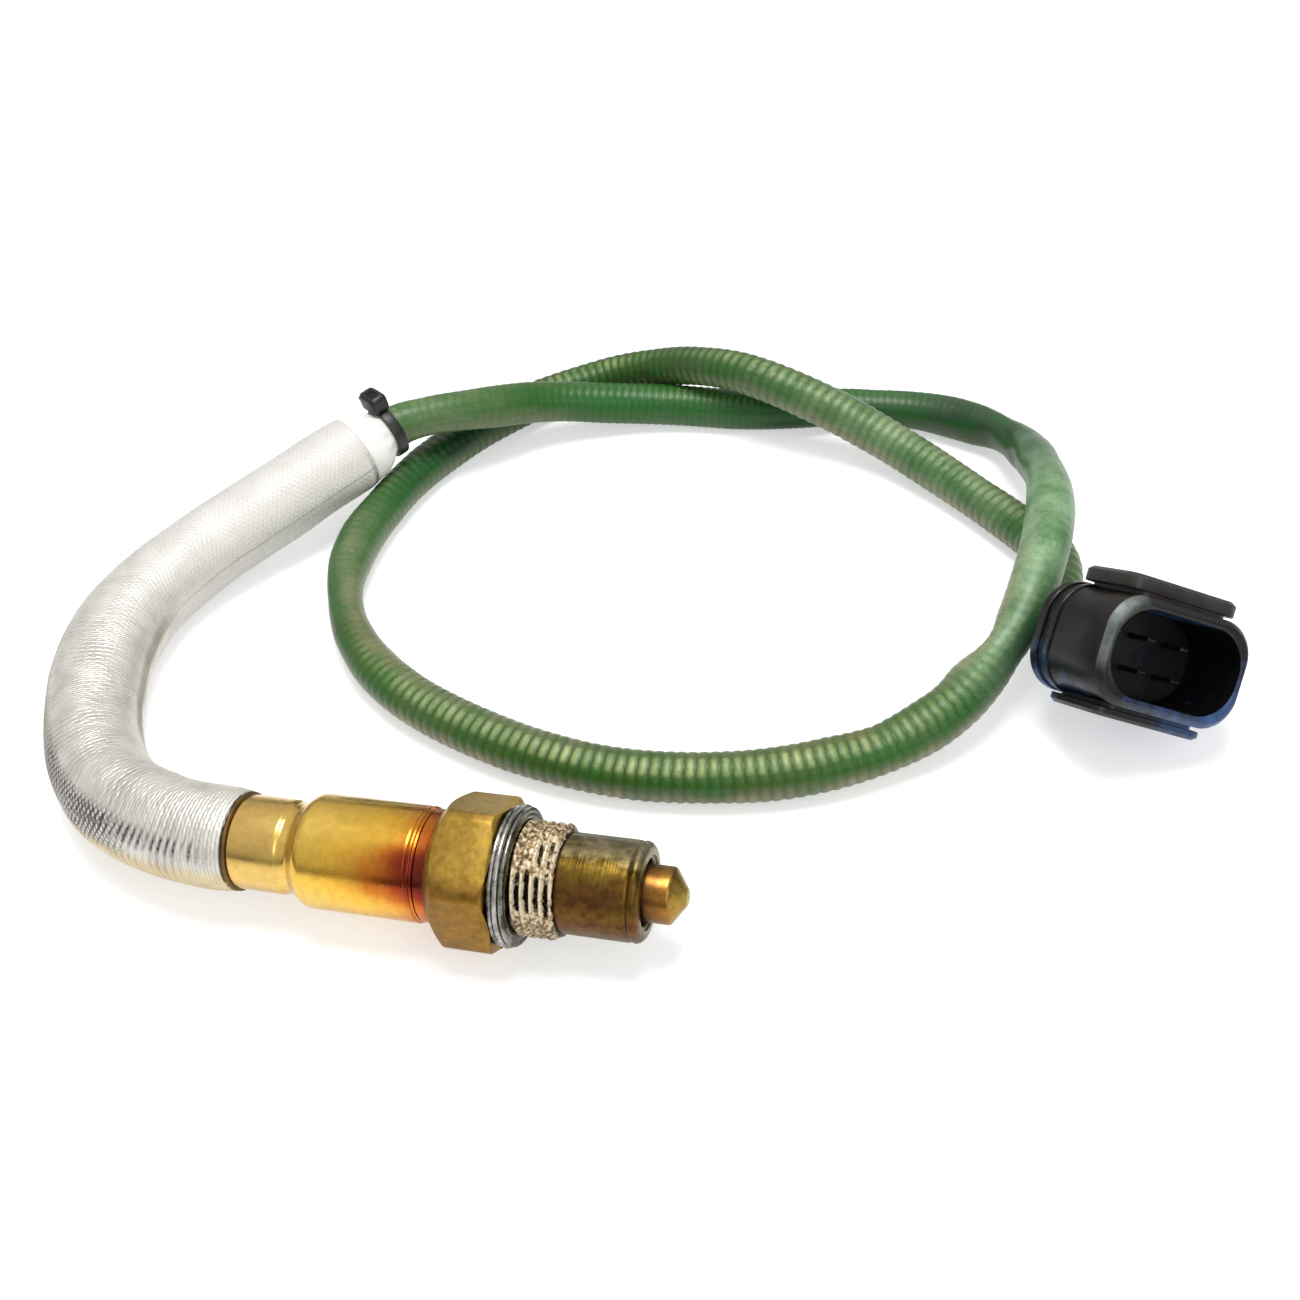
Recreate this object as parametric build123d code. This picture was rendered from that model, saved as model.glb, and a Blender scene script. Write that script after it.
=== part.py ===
from build123d import *
from math import acos, cos, degrees, pi, radians, sin, tan
import os

# Wideband exhaust oxygen sensor with its lead, lying on a table.  Millimetres.
# Origin: where the thread axis meets the face of the sealing ring that seats on
# the exhaust boss.  +X runs out through the sensor tip, +Z is up.  The sensor
# lies level on a corner of its hexagon, which sets the height of the table.

# ---- sensor body -------------------------------------------------------------
THREAD_D = 18.0            # M18 x 1.5
THREAD_LEN = 7.0
THREAD_CHAMFER = 0.8
THREAD_RUNOUT = 0.3        # cone from the relief up to the first crest
HEX_AF = 22.0              # spanner size
HEX_CORNER_D = 24.6        # corners turned down to this
HEX_CLOCK = 30.0           # one corner straight down
HEX_REAR, HEX_FRONT = -13.4, -2.8
HEX_CHAMFER_LEN = 2.6
NECK_R = 7.9               # relief behind the thread that keeps the ring captive
RING_R, RING_BORE_R = 11.1, 8.1
COLLAR_R = 8.85            # weld collar between hexagon and rear sleeve
COLLAR_REAR = -15.3
SPIGOT_REAR = -21.0
SPIGOT_R = 8.5
SEAL_BORE_R = 6.0          # bore for the powder seal
SHOULDER_X, SHOULDER_LEN = -3.5, 2.0
RING_EDGE, RING_GROOVE, RING_GROOVE_W = 0.5, 0.5, 0.7
FRONT_BORE_R = 4.2
NOSE_R, NOSE_LEN = 7.05, 2.4   # spigot that carries the protection tubes

# ---- protection tubes and ceramic -------------------------------------------
OUTER_TUBE_R, OUTER_TUBE_WALL = 7.75, 0.6
OUTER_TUBE_END = 19.7
OUTER_TUBE_ROUND = 1.3
GAS_GAP = 0.7              # annular gas gap between the two tubes
INNER_TUBE_R, INNER_TUBE_WALL = 4.4, 0.4
INNER_TUBE_END, TIP_X, TIP_R = 23.4, 25.7, 1.2
ELEMENT_W, ELEMENT_T = 4.0, 1.4
ELEMENT_REAR, ELEMENT_FRONT = -31.0, 20.5
POWDER_REAR, POWDER_FRONT = -12.5, -7.5
BUSHING_REAR, PRESS_REAR, PRESS_BORE_R = -19.4, -20.6, 3.2
GAS_HOLES, GAS_HOLE_R, GAS_HOLE_X = 6, 0.75, 13.5
FIT = 0.06                 # clearance of pressed and slid fits

# ---- rear sleeve -------------------------------------------------------------
SLEEVE_R, SLEEVE_WALL = 9.15, 0.55
SLEEVE_STEP = -34.3
REAR_R = 7.6
REAR_START = -37.2
CRIMP_DEPTH, CRIMP_LEN = 0.35, 1.4
LIP_R, LIP_REAR, LIP_LEN, LIP_EDGE = 8.05, -48.0, 0.8, 0.25
REAR_END = LIP_REAR + LIP_LEN
HOLDER_R, HOLDER_REAR, HOLDER_FRONT = 7.0, -33.0, -22.6
CAVITY_W, CAVITY_H = 5.4, 4.4
SPRING_REAR, SPRING_FRONT, SPRING_T, SPRING_GAP = -30.0, -25.6, 0.5, 4.0
CONTACT_FRONT, CONTACT_PITCH, CONTACT_W, CONTACT_T, CONTACT_LIFT = -23.0, 1.35, 0.7, 0.3, 0.17
FOOT_X, FOOT_LEN = -26.5, 1.2
WIRE_D, WIRES = 1.7, 5
WIRE_PCD = 7.6
GROMMET_FRONT = -37.6

# ---- lead --------------------------------------------------------------------
TABLE_Z = -HEX_CORNER_D / 2
HEAT_R = 8.5               # woven heat sleeve
CABLE_R = 4.75             # corrugated sleeve
BAND_LEN, BAND_R, BAND_NECK_R, BAND_NECK_LEN = 10.4, 8.1, 5.0, 3.2
BAND_TAPER, BAND_DROP = 3.4, 0.5
TIE_W, TIE_T, TIE_GAP = 2.5, 0.9, 0.05
TIE_HEAD = (4.2, 6.0, 4.2)     # radial, tangential, axial
TIE_HEAD_SIDE, TIE_HEAD_LIFT, TIE_HEAD_ROUND = 1.2, 0.35, 0.9
TIE_TAIL_LEN, TIE_TAIL_RISE = 2.8, 2.0

# ---- connector ---------------------------------------------------------------
MOUTH = (95.0, 53.8, 8.32)      # centre of the socket mouth
MOUTH_AZ, MOUTH_EL, MOUTH_ROLL = -52.0, 27.0, -33.0
SHELL_W, SHELL_H, SHELL_WALL, SHELL_ROUND = 28.8, 18.3, 1.8, 6.4
SHELL_LEN, SOCKET_DEPTH, FLOOR_T, RIM_BEVEL = 19.0, 13.0, 2.2, 1.0
SOCKET_FLAT = 0.75             # half the straight run left on the socket's short sides
SHELL_BANDS = ((0.4, 0.0, 1.8), (0.3, 3.4, 4.8))    # rise, start and end from the rear
FLOOR_RIM = 1.0                # ledge round the opening behind the floor
RAIL_W, RAIL_LEN, RAIL_BACK = 22.0, 14.0, 2.2
RAIL_CORNER, RAIL_EDGE = 2.4, 0.6
RAIL_T = {-1: 1.6, 1: 2.6}     # below and above the mouth
RAIL_WEB, RAIL_WEB_W, RAIL_ROOT = 0.6, 18.0, 1.2
CARRIER_T, CARRIER_GAP = 2.2, 0.1
CAP_STEPS = ((26.0, 16.2, 2.0), (21.0, 14.8, 2.5))
OUTLET_RISE = 2.0              # the cable leaves above the middle of the cap
CAP_WALL, CAP_BACK = 1.2, 1.4
ADAPTER_R, ADAPTER_BORE_R, ADAPTER_LEN = 5.3, 3.5, 5.0
ADAPTER_RIBS, RIB_PITCH, RIB_W, RIB_RISE, RIB_START = 3, 1.6, 0.9, 0.5, 0.7
PIN_W, PIN_T, PIN_TIP, PIN_LEAD_IN = 1.6, 0.8, 7.6, 0.25
PIN_PITCH_X, PIN_PITCH_Y, PIN_HOLE_GAP = 7.0, 5.6, 0.05
LEAD_WIRE_D, LEAD_BUNDLE_R, WIRE_HOLE_GAP = 1.6, 2.25, 0.02

FLAT_Z = TABLE_Z + CABLE_R     # centre height of the corrugated sleeve on the table
HEAT_Z = TABLE_Z + HEAT_R


def turned(*profile):
    """Solid turned about the X axis from (x, radius) corners."""
    return revolve(make_face(Polyline(*profile, close=True)), Axis.X, 360)


def rod(x0, x1, r):
    """Cylinder about the X axis from x0 to x1."""
    return Pos((x0 + x1) / 2, 0, 0) * Rot(0, 90, 0) * Cylinder(r, abs(x1 - x0))


def ring(x0, x1, r, bore):
    return rod(x0, x1, r) - rod(x0 - 1, x1 + 1, bore)


def best_radii(points):
    """Largest arc, and the turn in degrees, that the runs beside each corner of a route allow."""
    radii, turns = [], []
    for a, b, c in zip(points, points[1:], points[2:]):
        u, v = Vector(b) - Vector(a), Vector(c) - Vector(b)
        turn = acos(max(-1, min(1, u.dot(v) / u.length / v.length)))
        radii.append(0.45 * min(u.length, v.length) / tan(turn / 2))
        turns.append(degrees(turn))
    return radii, turns


def lead(points, r, name):
    """Plain tube of radius r along straight runs joined by tangent arcs."""
    radii, turns = best_radii(points)
    path = FilletPolyline(*points, radius=radii)
    tube = sweep(Plane(path @ 0, z_dir=path % 0) * Circle(r), path=path)
    ideal = pi * r * r * path.length
    print(f"{name}: length {path.length:.1f} mm, volume {tube.volume / ideal:.4f} of section x length")
    print("  radii", " ".join(f"{q:.0f}" for q in radii))
    print("  turns", " ".join(f"{q:.0f}" for q in turns))
    return tube


# ---- hexagon housing ---------------------------------------------------------
hex_len = HEX_FRONT - HEX_REAR
hexagon = Pos(HEX_REAR, 0, 0) * extrude(
    Plane.YZ * RegularPolygon(HEX_AF / 2, 6, major_radius=False, rotation=HEX_CLOCK), hex_len)
corner_r = HEX_CORNER_D / 2
hexagon &= turned((HEX_REAR, 0), (HEX_REAR, COLLAR_R + 0.2), (HEX_REAR + HEX_CHAMFER_LEN, corner_r),
                  (HEX_FRONT - 0.5, corner_r), (HEX_FRONT, corner_r - 0.9), (HEX_FRONT, 0))
tip_x = THREAD_LEN + NOSE_LEN
hex_housing = turned(
    (SPIGOT_REAR, SEAL_BORE_R), (SPIGOT_REAR, SPIGOT_R), (COLLAR_REAR, SPIGOT_R),
    (COLLAR_REAR, COLLAR_R), (HEX_REAR + 0.5, COLLAR_R), (HEX_REAR + 0.5, corner_r - 3.5),
    (HEX_FRONT, corner_r - 3.5), (HEX_FRONT, NECK_R), (-THREAD_RUNOUT, NECK_R), (0, THREAD_D / 2),
    (THREAD_LEN - THREAD_CHAMFER, THREAD_D / 2), (THREAD_LEN, THREAD_D / 2 - THREAD_CHAMFER),
    (THREAD_LEN, NOSE_R), (tip_x, NOSE_R), (tip_x, FRONT_BORE_R),
    (SHOULDER_X + SHOULDER_LEN, FRONT_BORE_R), (SHOULDER_X, SEAL_BORE_R))
hex_housing += hexagon - rod(HEX_REAR - 1, HEX_FRONT + 1, SEAL_BORE_R + 1.5)

# Folded sealing ring: one crimp groove round the outside, rounded edges.
ring_mid = HEX_FRONT / 2
groove_w = RING_GROOVE_W / 2
sealing_ring = turned(
    (HEX_FRONT, RING_BORE_R), (HEX_FRONT, RING_R - RING_EDGE), (HEX_FRONT + RING_EDGE, RING_R),
    (ring_mid - groove_w, RING_R), (ring_mid, RING_R - RING_GROOVE), (ring_mid + groove_w, RING_R),
    (-RING_EDGE, RING_R), (0, RING_R - RING_EDGE), (0, THREAD_D / 2 + 0.1), (-THREAD_RUNOUT, RING_BORE_R))

# ---- protection tubes --------------------------------------------------------
r_out, r_in = OUTER_TUBE_R, OUTER_TUBE_R - OUTER_TUBE_WALL
hole_r = INNER_TUBE_R + GAS_GAP
x_end = OUTER_TUBE_END
outer_protection_tube = turned(
    (THREAD_LEN, r_in), (THREAD_LEN, r_out), (x_end - OUTER_TUBE_ROUND, r_out),
    (x_end, r_out - OUTER_TUBE_ROUND), (x_end, r_out - 2.0), (x_end - 0.35, r_out - 2.1),
    (x_end - 0.35, hole_r), (x_end - 0.95, hole_r), (x_end - 0.95, r_in))
outer_protection_tube = fillet(
    outer_protection_tube.edges().filter_by(GeomType.CIRCLE).filter_by(
        lambda e: abs(e.radius - r_out) < 0.01 and e.center().X > x_end - 2), 0.7)

flange_x = tip_x + 0.02
inner_protection_tube = turned(
    (flange_x, INNER_TUBE_R - INNER_TUBE_WALL), (flange_x, NOSE_R), (flange_x + INNER_TUBE_WALL, NOSE_R),
    (flange_x + INNER_TUBE_WALL, INNER_TUBE_R), (INNER_TUBE_END, INNER_TUBE_R), (TIP_X, TIP_R), (TIP_X, 0),
    (TIP_X - INNER_TUBE_WALL, 0), (TIP_X - INNER_TUBE_WALL, TIP_R - 0.2),
    (INNER_TUBE_END - 0.2, INNER_TUBE_R - INNER_TUBE_WALL))
for i in range(GAS_HOLES):
    inner_protection_tube -= Rot(360 / GAS_HOLES * i, 0, 0) * Pos(GAS_HOLE_X, 0, INNER_TUBE_R) * Cylinder(
        GAS_HOLE_R, 3 * INNER_TUBE_WALL)

# ---- ceramic element, bushings and powder seal -------------------------------
element_mid = Pos((ELEMENT_REAR + ELEMENT_FRONT) / 2, 0, 0)
element_slot = element_mid * Box(ELEMENT_FRONT - ELEMENT_REAR, ELEMENT_W + FIT, ELEMENT_T + FIT)
sensor_element = element_mid * Box(ELEMENT_FRONT - ELEMENT_REAR, ELEMENT_W, ELEMENT_T)
bore = SEAL_BORE_R - FIT
lower_ceramic_bushing = turned(
    (POWDER_FRONT, 0), (POWDER_FRONT, bore), (SHOULDER_X - 0.1, bore),
    (SHOULDER_X + SHOULDER_LEN - 0.1, FRONT_BORE_R - FIT), (0, FRONT_BORE_R - FIT), (0, 0)) - element_slot
powder_seal = rod(POWDER_REAR, POWDER_FRONT, bore) - element_slot
upper_ceramic_bushing = rod(BUSHING_REAR, POWDER_REAR, bore) - element_slot
press_ring = ring(PRESS_REAR, BUSHING_REAR, bore, PRESS_BORE_R)

# ---- contacts and their holder ----------------------------------------------
cavity = Pos((HOLDER_REAR + HOLDER_FRONT) / 2, 0, 0) * Box(HOLDER_FRONT - HOLDER_REAR + 2, CAVITY_W, CAVITY_H)
contact_holder = rod(HOLDER_REAR, HOLDER_FRONT, HOLDER_R) - cavity
spring_seat = HOLDER_R - SPRING_T - 2 * FIT
contact_holder -= ring(SPRING_REAR - 2 * FIT, SPRING_FRONT + 2 * FIT, HOLDER_R + 1, spring_seat)
leaf_z = ELEMENT_T / 2 + CONTACT_LIFT
leaf = Pos((ELEMENT_REAR + CONTACT_FRONT) / 2, 0, leaf_z + CONTACT_T / 2) * Box(
    CONTACT_FRONT - ELEMENT_REAR, CONTACT_W, CONTACT_T)
foot = Pos(FOOT_X, 0, leaf_z - CONTACT_LIFT / 2 + FIT / 6) * Box(FOOT_LEN, CONTACT_W, CONTACT_LIFT - FIT / 3)
element_contacts = Compound(children=[
    Rot(180 * side, 0, 0) * Pos(0, CONTACT_PITCH * (i - 1), 0) * (leaf + foot)
    for side in range(2) for i in range(3)])
holder_spring = ring(SPRING_REAR, SPRING_FRONT, spring_seat + FIT + SPRING_T, spring_seat + FIT)
holder_spring -= Pos((SPRING_REAR + SPRING_FRONT) / 2, 0, HOLDER_R) * Box(
    SPRING_FRONT - SPRING_REAR + 1, SPRING_GAP, 4 * SPRING_T)

# ---- rear sleeve: one deep-drawn steel sleeve with its step and crimp --------
w = SLEEVE_WALL
outline = [(COLLAR_REAR, SLEEVE_R - 0.1), (COLLAR_REAR - 0.3, SLEEVE_R), (SLEEVE_STEP, SLEEVE_R),
           (SLEEVE_STEP - 0.9, SLEEVE_R - 0.35), (REAR_START + 0.5, REAR_R - 0.15),
           (REAR_START - 0.3, REAR_R - CRIMP_DEPTH), (REAR_START - CRIMP_LEN, REAR_R - CRIMP_DEPTH),
           (REAR_START - CRIMP_LEN - 0.7, REAR_R), (REAR_END, REAR_R)]
rear_sleeve = turned(*outline, *[(x + (0.25 if 0 < k < 5 else 0), r - w) for k, (x, r) in
                                 reversed(list(enumerate(outline)))])

grommet_r = REAR_R - CRIMP_DEPTH - w - FIT
wire_spots = [(WIRE_PCD / 2 * cos(turn), WIRE_PCD / 2 * sin(turn))
              for turn in (2 * pi * i / WIRES for i in range(WIRES))]
cable_grommet = rod(LIP_REAR, GROMMET_FRONT, grommet_r)
for y, z in wire_spots:
    cable_grommet -= Pos(0, y, z) * rod(LIP_REAR - 1, GROMMET_FRONT + 1, WIRE_D / 2 + FIT)
sensor_wires = Compound(children=[
    Pos(0, y, z) * rod(LIP_REAR, HOLDER_REAR, WIRE_D / 2) for y, z in wire_spots])
crimp_collar = turned((LIP_REAR, grommet_r + FIT), (LIP_REAR, LIP_R - LIP_EDGE), (LIP_REAR + LIP_EDGE, LIP_R),
                      (REAR_END - LIP_EDGE, LIP_R), (REAR_END, LIP_R - LIP_EDGE), (REAR_END, grommet_r + FIT))

# ---- heat sleeve, end band and tie ------------------------------------------
HEAT_ROUTE = [(LIP_REAR, 0, 0), (-62, 0, 0), (-83, 11, HEAT_Z), (-97.5, 33, HEAT_Z), (-103.5, 55, HEAT_Z),
              (-98, 74, HEAT_Z + 0.6), (-86.2, 91.2, HEAT_Z + 3.2), (-73.4, 109.2, HEAT_Z + 6.4)]
heat_sleeve = lead(HEAT_ROUTE, HEAT_R, "heat_sleeve")
heat_end = Vector(HEAT_ROUTE[-1])
heat_dir = (heat_end - Vector(HEAT_ROUTE[-2])).normalized()
level = Vector(-heat_dir.Y, heat_dir.X, 0).normalized()
end_plane = Plane(origin=heat_end, x_dir=level, z_dir=heat_dir)

neck = BAND_LEN - BAND_NECK_LEN
band_profile = [(0, 0), (BAND_R, 0), (BAND_R - BAND_DROP, neck - BAND_TAPER), (BAND_NECK_R, neck),
                (BAND_NECK_R, BAND_LEN), (0, BAND_LEN)]
sleeve_end_band = end_plane * revolve(make_face(Plane.XZ * Polyline(*band_profile, close=True)), Axis.Z, 360)

tie_r, tie_mid = BAND_NECK_R + TIE_GAP, BAND_LEN - BAND_NECK_LEN / 2
strap = Pos(0, 0, tie_mid) * extrude(Circle(tie_r + TIE_T) - Circle(tie_r), TIE_W / 2, both=True)
head_deep, head_wide, head_long = TIE_HEAD
head = Pos(TIE_HEAD_SIDE, tie_r + head_deep / 2 + TIE_HEAD_LIFT, tie_mid) * fillet(
    Box(head_wide, head_deep, head_long).edges(), TIE_HEAD_ROUND)
head -= Pos(0, 0, tie_mid) * extrude(Circle(tie_r), head_long, both=True)
tail = Pos(TIE_HEAD_SIDE + (head_wide + TIE_TAIL_LEN) / 2 - TIE_T, tie_r + TIE_TAIL_RISE, tie_mid) * Box(
    TIE_TAIL_LEN, TIE_T, TIE_W)
cable_tie = end_plane * (strap + head + tail)

# ---- connector frame ---------------------------------------------------------
az, el = radians(MOUTH_AZ), radians(MOUTH_EL)
mouth_dir = Vector(cos(az) * cos(el), sin(az) * cos(el), sin(el))
level, roll = Vector(-sin(az), cos(az), 0), radians(MOUTH_ROLL)
mouth_plane = Plane(origin=MOUTH, x_dir=level * cos(roll) + mouth_dir.cross(level) * sin(roll), z_dir=mouth_dir)
cap_len = sum(step[2] for step in CAP_STEPS)
lead_end = Vector(MOUTH) + mouth_plane.y_dir * OUTLET_RISE - mouth_dir * (SHELL_LEN + cap_len + ADAPTER_LEN)

# ---- corrugated sleeve -------------------------------------------------------
START_RUN, END_RUN = 5.0, 9.7
band_end = heat_end + heat_dir * BAND_LEN
CABLE_ROUTE = [
    tuple(band_end), tuple(band_end + heat_dir * START_RUN),
    (-53.0, 129.8, FLAT_Z + 10.1), (-37, 143.3, FLAT_Z + 4.2), (-15, 151.5, FLAT_Z), (12, 150, FLAT_Z),
    (36, 155, FLAT_Z), (54.5, 150.3, FLAT_Z), (66.2, 136.5, FLAT_Z + 2.2), (71.5, 121, FLAT_Z + 8.6),
    (73.5, 104, FLAT_Z + 14.4), (72.5, 83, FLAT_Z + 14.6), (67.5, 63, FLAT_Z + 6.4), (54, 47, FLAT_Z + 0.6),
    (31, 34, FLAT_Z), (4, 31, FLAT_Z),
    (-22, 37, FLAT_Z), (-46, 49, FLAT_Z), (-62, 70, FLAT_Z), (-67, 97, FLAT_Z), (-60.5, 123, FLAT_Z),
    (-51, 144.5, FLAT_Z), (-37.5, 158, FLAT_Z), (-20.5, 161, FLAT_Z + 4.8), (-1, 152.5, FLAT_Z + 11.2),
    (15, 144, FLAT_Z + 10.8), (36.5, 138, FLAT_Z + 2.4), (55, 124.5, FLAT_Z), (77, 102, FLAT_Z),
    tuple(lead_end - mouth_dir * END_RUN), tuple(lead_end)]
cable_sleeve = lead(CABLE_ROUTE, CABLE_R, "cable_sleeve")

# ---- connector ---------------------------------------------------------------
inner_w, inner_h = SHELL_W - 2 * SHELL_WALL, SHELL_H - 2 * SHELL_WALL
pin_spots = [(PIN_PITCH_X * i, PIN_PITCH_Y / 2 * j) for j in (-1, 1) for i in (-1, 0, 1)]
floor_z = -SOCKET_DEPTH - FLOOR_T


def slab(w, h, z0, z1):
    """Slab between two depths, with the shell's corners kept parallel to it."""
    return Pos(0, 0, z0) * extrude(RectangleRounded(w, h, SHELL_ROUND - (SHELL_H - h) / 2), z1 - z0)


shell = chamfer(slab(SHELL_W, SHELL_H, -SHELL_LEN, 0).edges().group_by(Axis.Z)[-1], RIM_BEVEL)
for rise, start, end in SHELL_BANDS:
    shell += slab(SHELL_W + 2 * rise, SHELL_H + 2 * rise, start - SHELL_LEN, end - SHELL_LEN)
for side, thick in RAIL_T.items():
    rail = fillet(Box(RAIL_W, thick, RAIL_LEN).edges().filter_by(Axis.Y), RAIL_CORNER)
    rail = chamfer(rail.edges().group_by(Axis.Y)[-1 if side > 0 else 0], RAIL_EDGE)
    rail = Pos(0, side * (SHELL_H / 2 + RAIL_WEB + thick / 2), 0) * rail
    web = Pos(0, side * (SHELL_H + RAIL_WEB - RAIL_ROOT) / 2, 0) * Box(
        RAIL_WEB_W, RAIL_WEB + RAIL_ROOT, RAIL_LEN)
    shell += Pos(0, 0, -RAIL_BACK - RAIL_LEN / 2) * (rail + web)
socket_round = inner_h / 2 - SOCKET_FLAT
shell -= Pos(0, 0, -SOCKET_DEPTH) * extrude(RectangleRounded(inner_w, inner_h, socket_round), SHELL_LEN)
rear_w, rear_h = inner_w - 2 * FLOOR_RIM, inner_h - 2 * FLOOR_RIM
shell -= slab(rear_w, rear_h, -SHELL_LEN - 1, floor_z)
pin_hole = Box(PIN_W + 2 * PIN_HOLE_GAP, PIN_T + 2 * PIN_HOLE_GAP, FLOOR_T + 2 * CARRIER_T)
for x, y in pin_spots:
    shell -= Pos(x, y, floor_z + FLOOR_T / 2) * pin_hole
connector_housing = mouth_plane * shell

pin_len = -floor_z + CARRIER_T - PIN_TIP
pin = Pos(0, 0, -PIN_TIP - pin_len / 2) * Box(PIN_W, PIN_T, pin_len)
pin = chamfer(pin.edges().group_by(Axis.Z)[-1], PIN_LEAD_IN)
connector_pins = mouth_plane * Compound(children=[Pos(x, y, 0) * pin for x, y in pin_spots])

fill_w, fill_h = rear_w - 2 * CARRIER_GAP, rear_h - 2 * CARRIER_GAP
carrier = slab(fill_w, fill_h, floor_z - CARRIER_T, floor_z)
seal = slab(fill_w, fill_h, -SHELL_LEN, floor_z - CARRIER_T)
for x, y in pin_spots:
    carrier -= Pos(x, y, floor_z - CARRIER_T / 2) * pin_hole
    seal -= Pos(x, y, floor_z - CARRIER_T) * Cylinder(LEAD_WIRE_D / 2 + WIRE_HOLE_GAP, SHELL_LEN)
pin_carrier, wire_seal = mouth_plane * carrier, mouth_plane * seal

cap_z = -SHELL_LEN
cap = Part()
for w, h, step in CAP_STEPS:
    cap += slab(w, h, cap_z - step, cap_z)
    cap_z -= step
cap_w, cap_h, _ = CAP_STEPS[-1]
cap -= slab(cap_w - 2 * CAP_WALL, cap_h - 2 * CAP_WALL, cap_z + CAP_BACK, -SHELL_LEN + 1)
cap -= Pos(0, OUTLET_RISE, cap_z) * Cylinder(ADAPTER_BORE_R, 3 * CAP_BACK)
rear_cap = mouth_plane * cap

outlet = Pos(0, OUTLET_RISE, cap_z)
adapter = outlet * Pos(0, 0, -ADAPTER_LEN / 2) * Cylinder(ADAPTER_R - RIB_RISE, ADAPTER_LEN)
for k in range(ADAPTER_RIBS):
    adapter += outlet * Pos(0, 0, -RIB_START - RIB_PITCH * k) * Cylinder(ADAPTER_R, RIB_W)
adapter -= outlet * Pos(0, 0, -ADAPTER_LEN / 2) * Cylinder(ADAPTER_BORE_R, ADAPTER_LEN + 1)
sleeve_adapter = mouth_plane * adapter

wires = []
for (x, y), turn in zip(pin_spots, (210, 270, 330, 150, 90, 30)):
    near = (LEAD_BUNDLE_R * cos(radians(turn)), OUTLET_RISE + LEAD_BUNDLE_R * sin(radians(turn)))
    route = [(x, y, floor_z - CARRIER_T), (x, y, -SHELL_LEN - 0.5), (*near, cap_z + 0.4),
             (*near, cap_z - ADAPTER_LEN)]
    path = Polyline(*route)
    wires.append(sweep(Pos(*route[0]) * Circle(LEAD_WIRE_D / 2), path=path, transition=Transition.RIGHT))
connector_wires = mouth_plane * Compound(children=wires)

nodes = {
    "hex_housing": hex_housing, "sealing_ring": sealing_ring,
    "outer_protection_tube": outer_protection_tube, "inner_protection_tube": inner_protection_tube,
    "sensor_element": sensor_element, "lower_ceramic_bushing": lower_ceramic_bushing,
    "powder_seal": powder_seal, "upper_ceramic_bushing": upper_ceramic_bushing, "press_ring": press_ring,
    "contact_holder": contact_holder, "element_contacts": element_contacts, "holder_spring": holder_spring,
    "rear_sleeve": rear_sleeve, "cable_grommet": cable_grommet, "sensor_wires": sensor_wires,
    "crimp_collar": crimp_collar, "heat_sleeve": heat_sleeve, "sleeve_end_band": sleeve_end_band,
    "cable_tie": cable_tie, "cable_sleeve": cable_sleeve, "connector_housing": connector_housing,
    "connector_pins": connector_pins, "pin_carrier": pin_carrier, "wire_seal": wire_seal,
    "rear_cap": rear_cap, "sleeve_adapter": sleeve_adapter, "connector_wires": connector_wires,
}
os.makedirs("parts", exist_ok=True)
for name, shape in nodes.items():
    export_step(shape, f"parts/{name}.step")
print(len(nodes), "nodes; band end", tuple(round(q, 1) for q in band_end), "lead end",
      tuple(round(q, 1) for q in lead_end), "table", TABLE_Z)
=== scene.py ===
"""Exhaust oxygen sensor with its heat sleeve, corrugated lead and socket connector, lying on a table.

Shapes are worked out in millimetres in the part's own frame (origin at the sealing ring's seat, +X out
through the tip, +Z up) and turned to metres when a mesh is made.
"""

import logging
from dataclasses import dataclass
from enum import Enum
from functools import partial
from math import pi, radians
from typing import Callable, Sequence

import bmesh
import bpy
import numpy as np
from mathutils import Matrix


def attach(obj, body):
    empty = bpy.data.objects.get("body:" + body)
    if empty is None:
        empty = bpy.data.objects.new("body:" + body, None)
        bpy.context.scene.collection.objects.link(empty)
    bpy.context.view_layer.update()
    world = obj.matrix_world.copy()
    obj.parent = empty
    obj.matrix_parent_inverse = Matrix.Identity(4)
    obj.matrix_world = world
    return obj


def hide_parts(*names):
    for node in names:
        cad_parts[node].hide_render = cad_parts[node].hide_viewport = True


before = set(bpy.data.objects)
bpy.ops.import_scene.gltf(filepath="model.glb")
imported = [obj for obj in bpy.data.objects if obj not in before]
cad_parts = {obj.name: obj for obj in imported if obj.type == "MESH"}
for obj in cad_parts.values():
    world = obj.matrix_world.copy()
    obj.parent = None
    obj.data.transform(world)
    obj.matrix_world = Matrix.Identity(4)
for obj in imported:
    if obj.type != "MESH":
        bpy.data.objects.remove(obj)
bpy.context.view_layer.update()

LOG = logging.getLogger("oxygen_sensor")
Adder = Callable[..., bpy.types.Node]
Marks = dict[str, np.ndarray] | None
MM = 0.001
TAU = 2 * pi
BODY = "root"
TABLE_Z = -12.3
SKIN = 0.02                     # how far a cord's lowest points stay off the table
CABLE_R, HEAT_R = 4.75, 8.5
FLAT_Z = TABLE_Z + CABLE_R
HEAT_Z = TABLE_Z + HEAT_R
NOISE = (0.3, 0.7)              # values between which a noise texture mostly lies


# ---- small tools -------------------------------------------------------------
def linear(code: str) -> tuple[float, float, float, float]:
    """Turn an sRGB hex colour into linear light.

    Args:
        code: six hex digits after a hash.

    Returns:
        Red, green, blue and an alpha of 1.
    """
    srgb = np.array([int(code[i:i + 2], 16) for i in (1, 3, 5)]) / 255.0
    light = np.where(srgb <= 0.04045, srgb / 12.92, ((srgb + 0.055) / 1.055) ** 2.4)
    return (*light.tolist(), 1.0)


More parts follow.
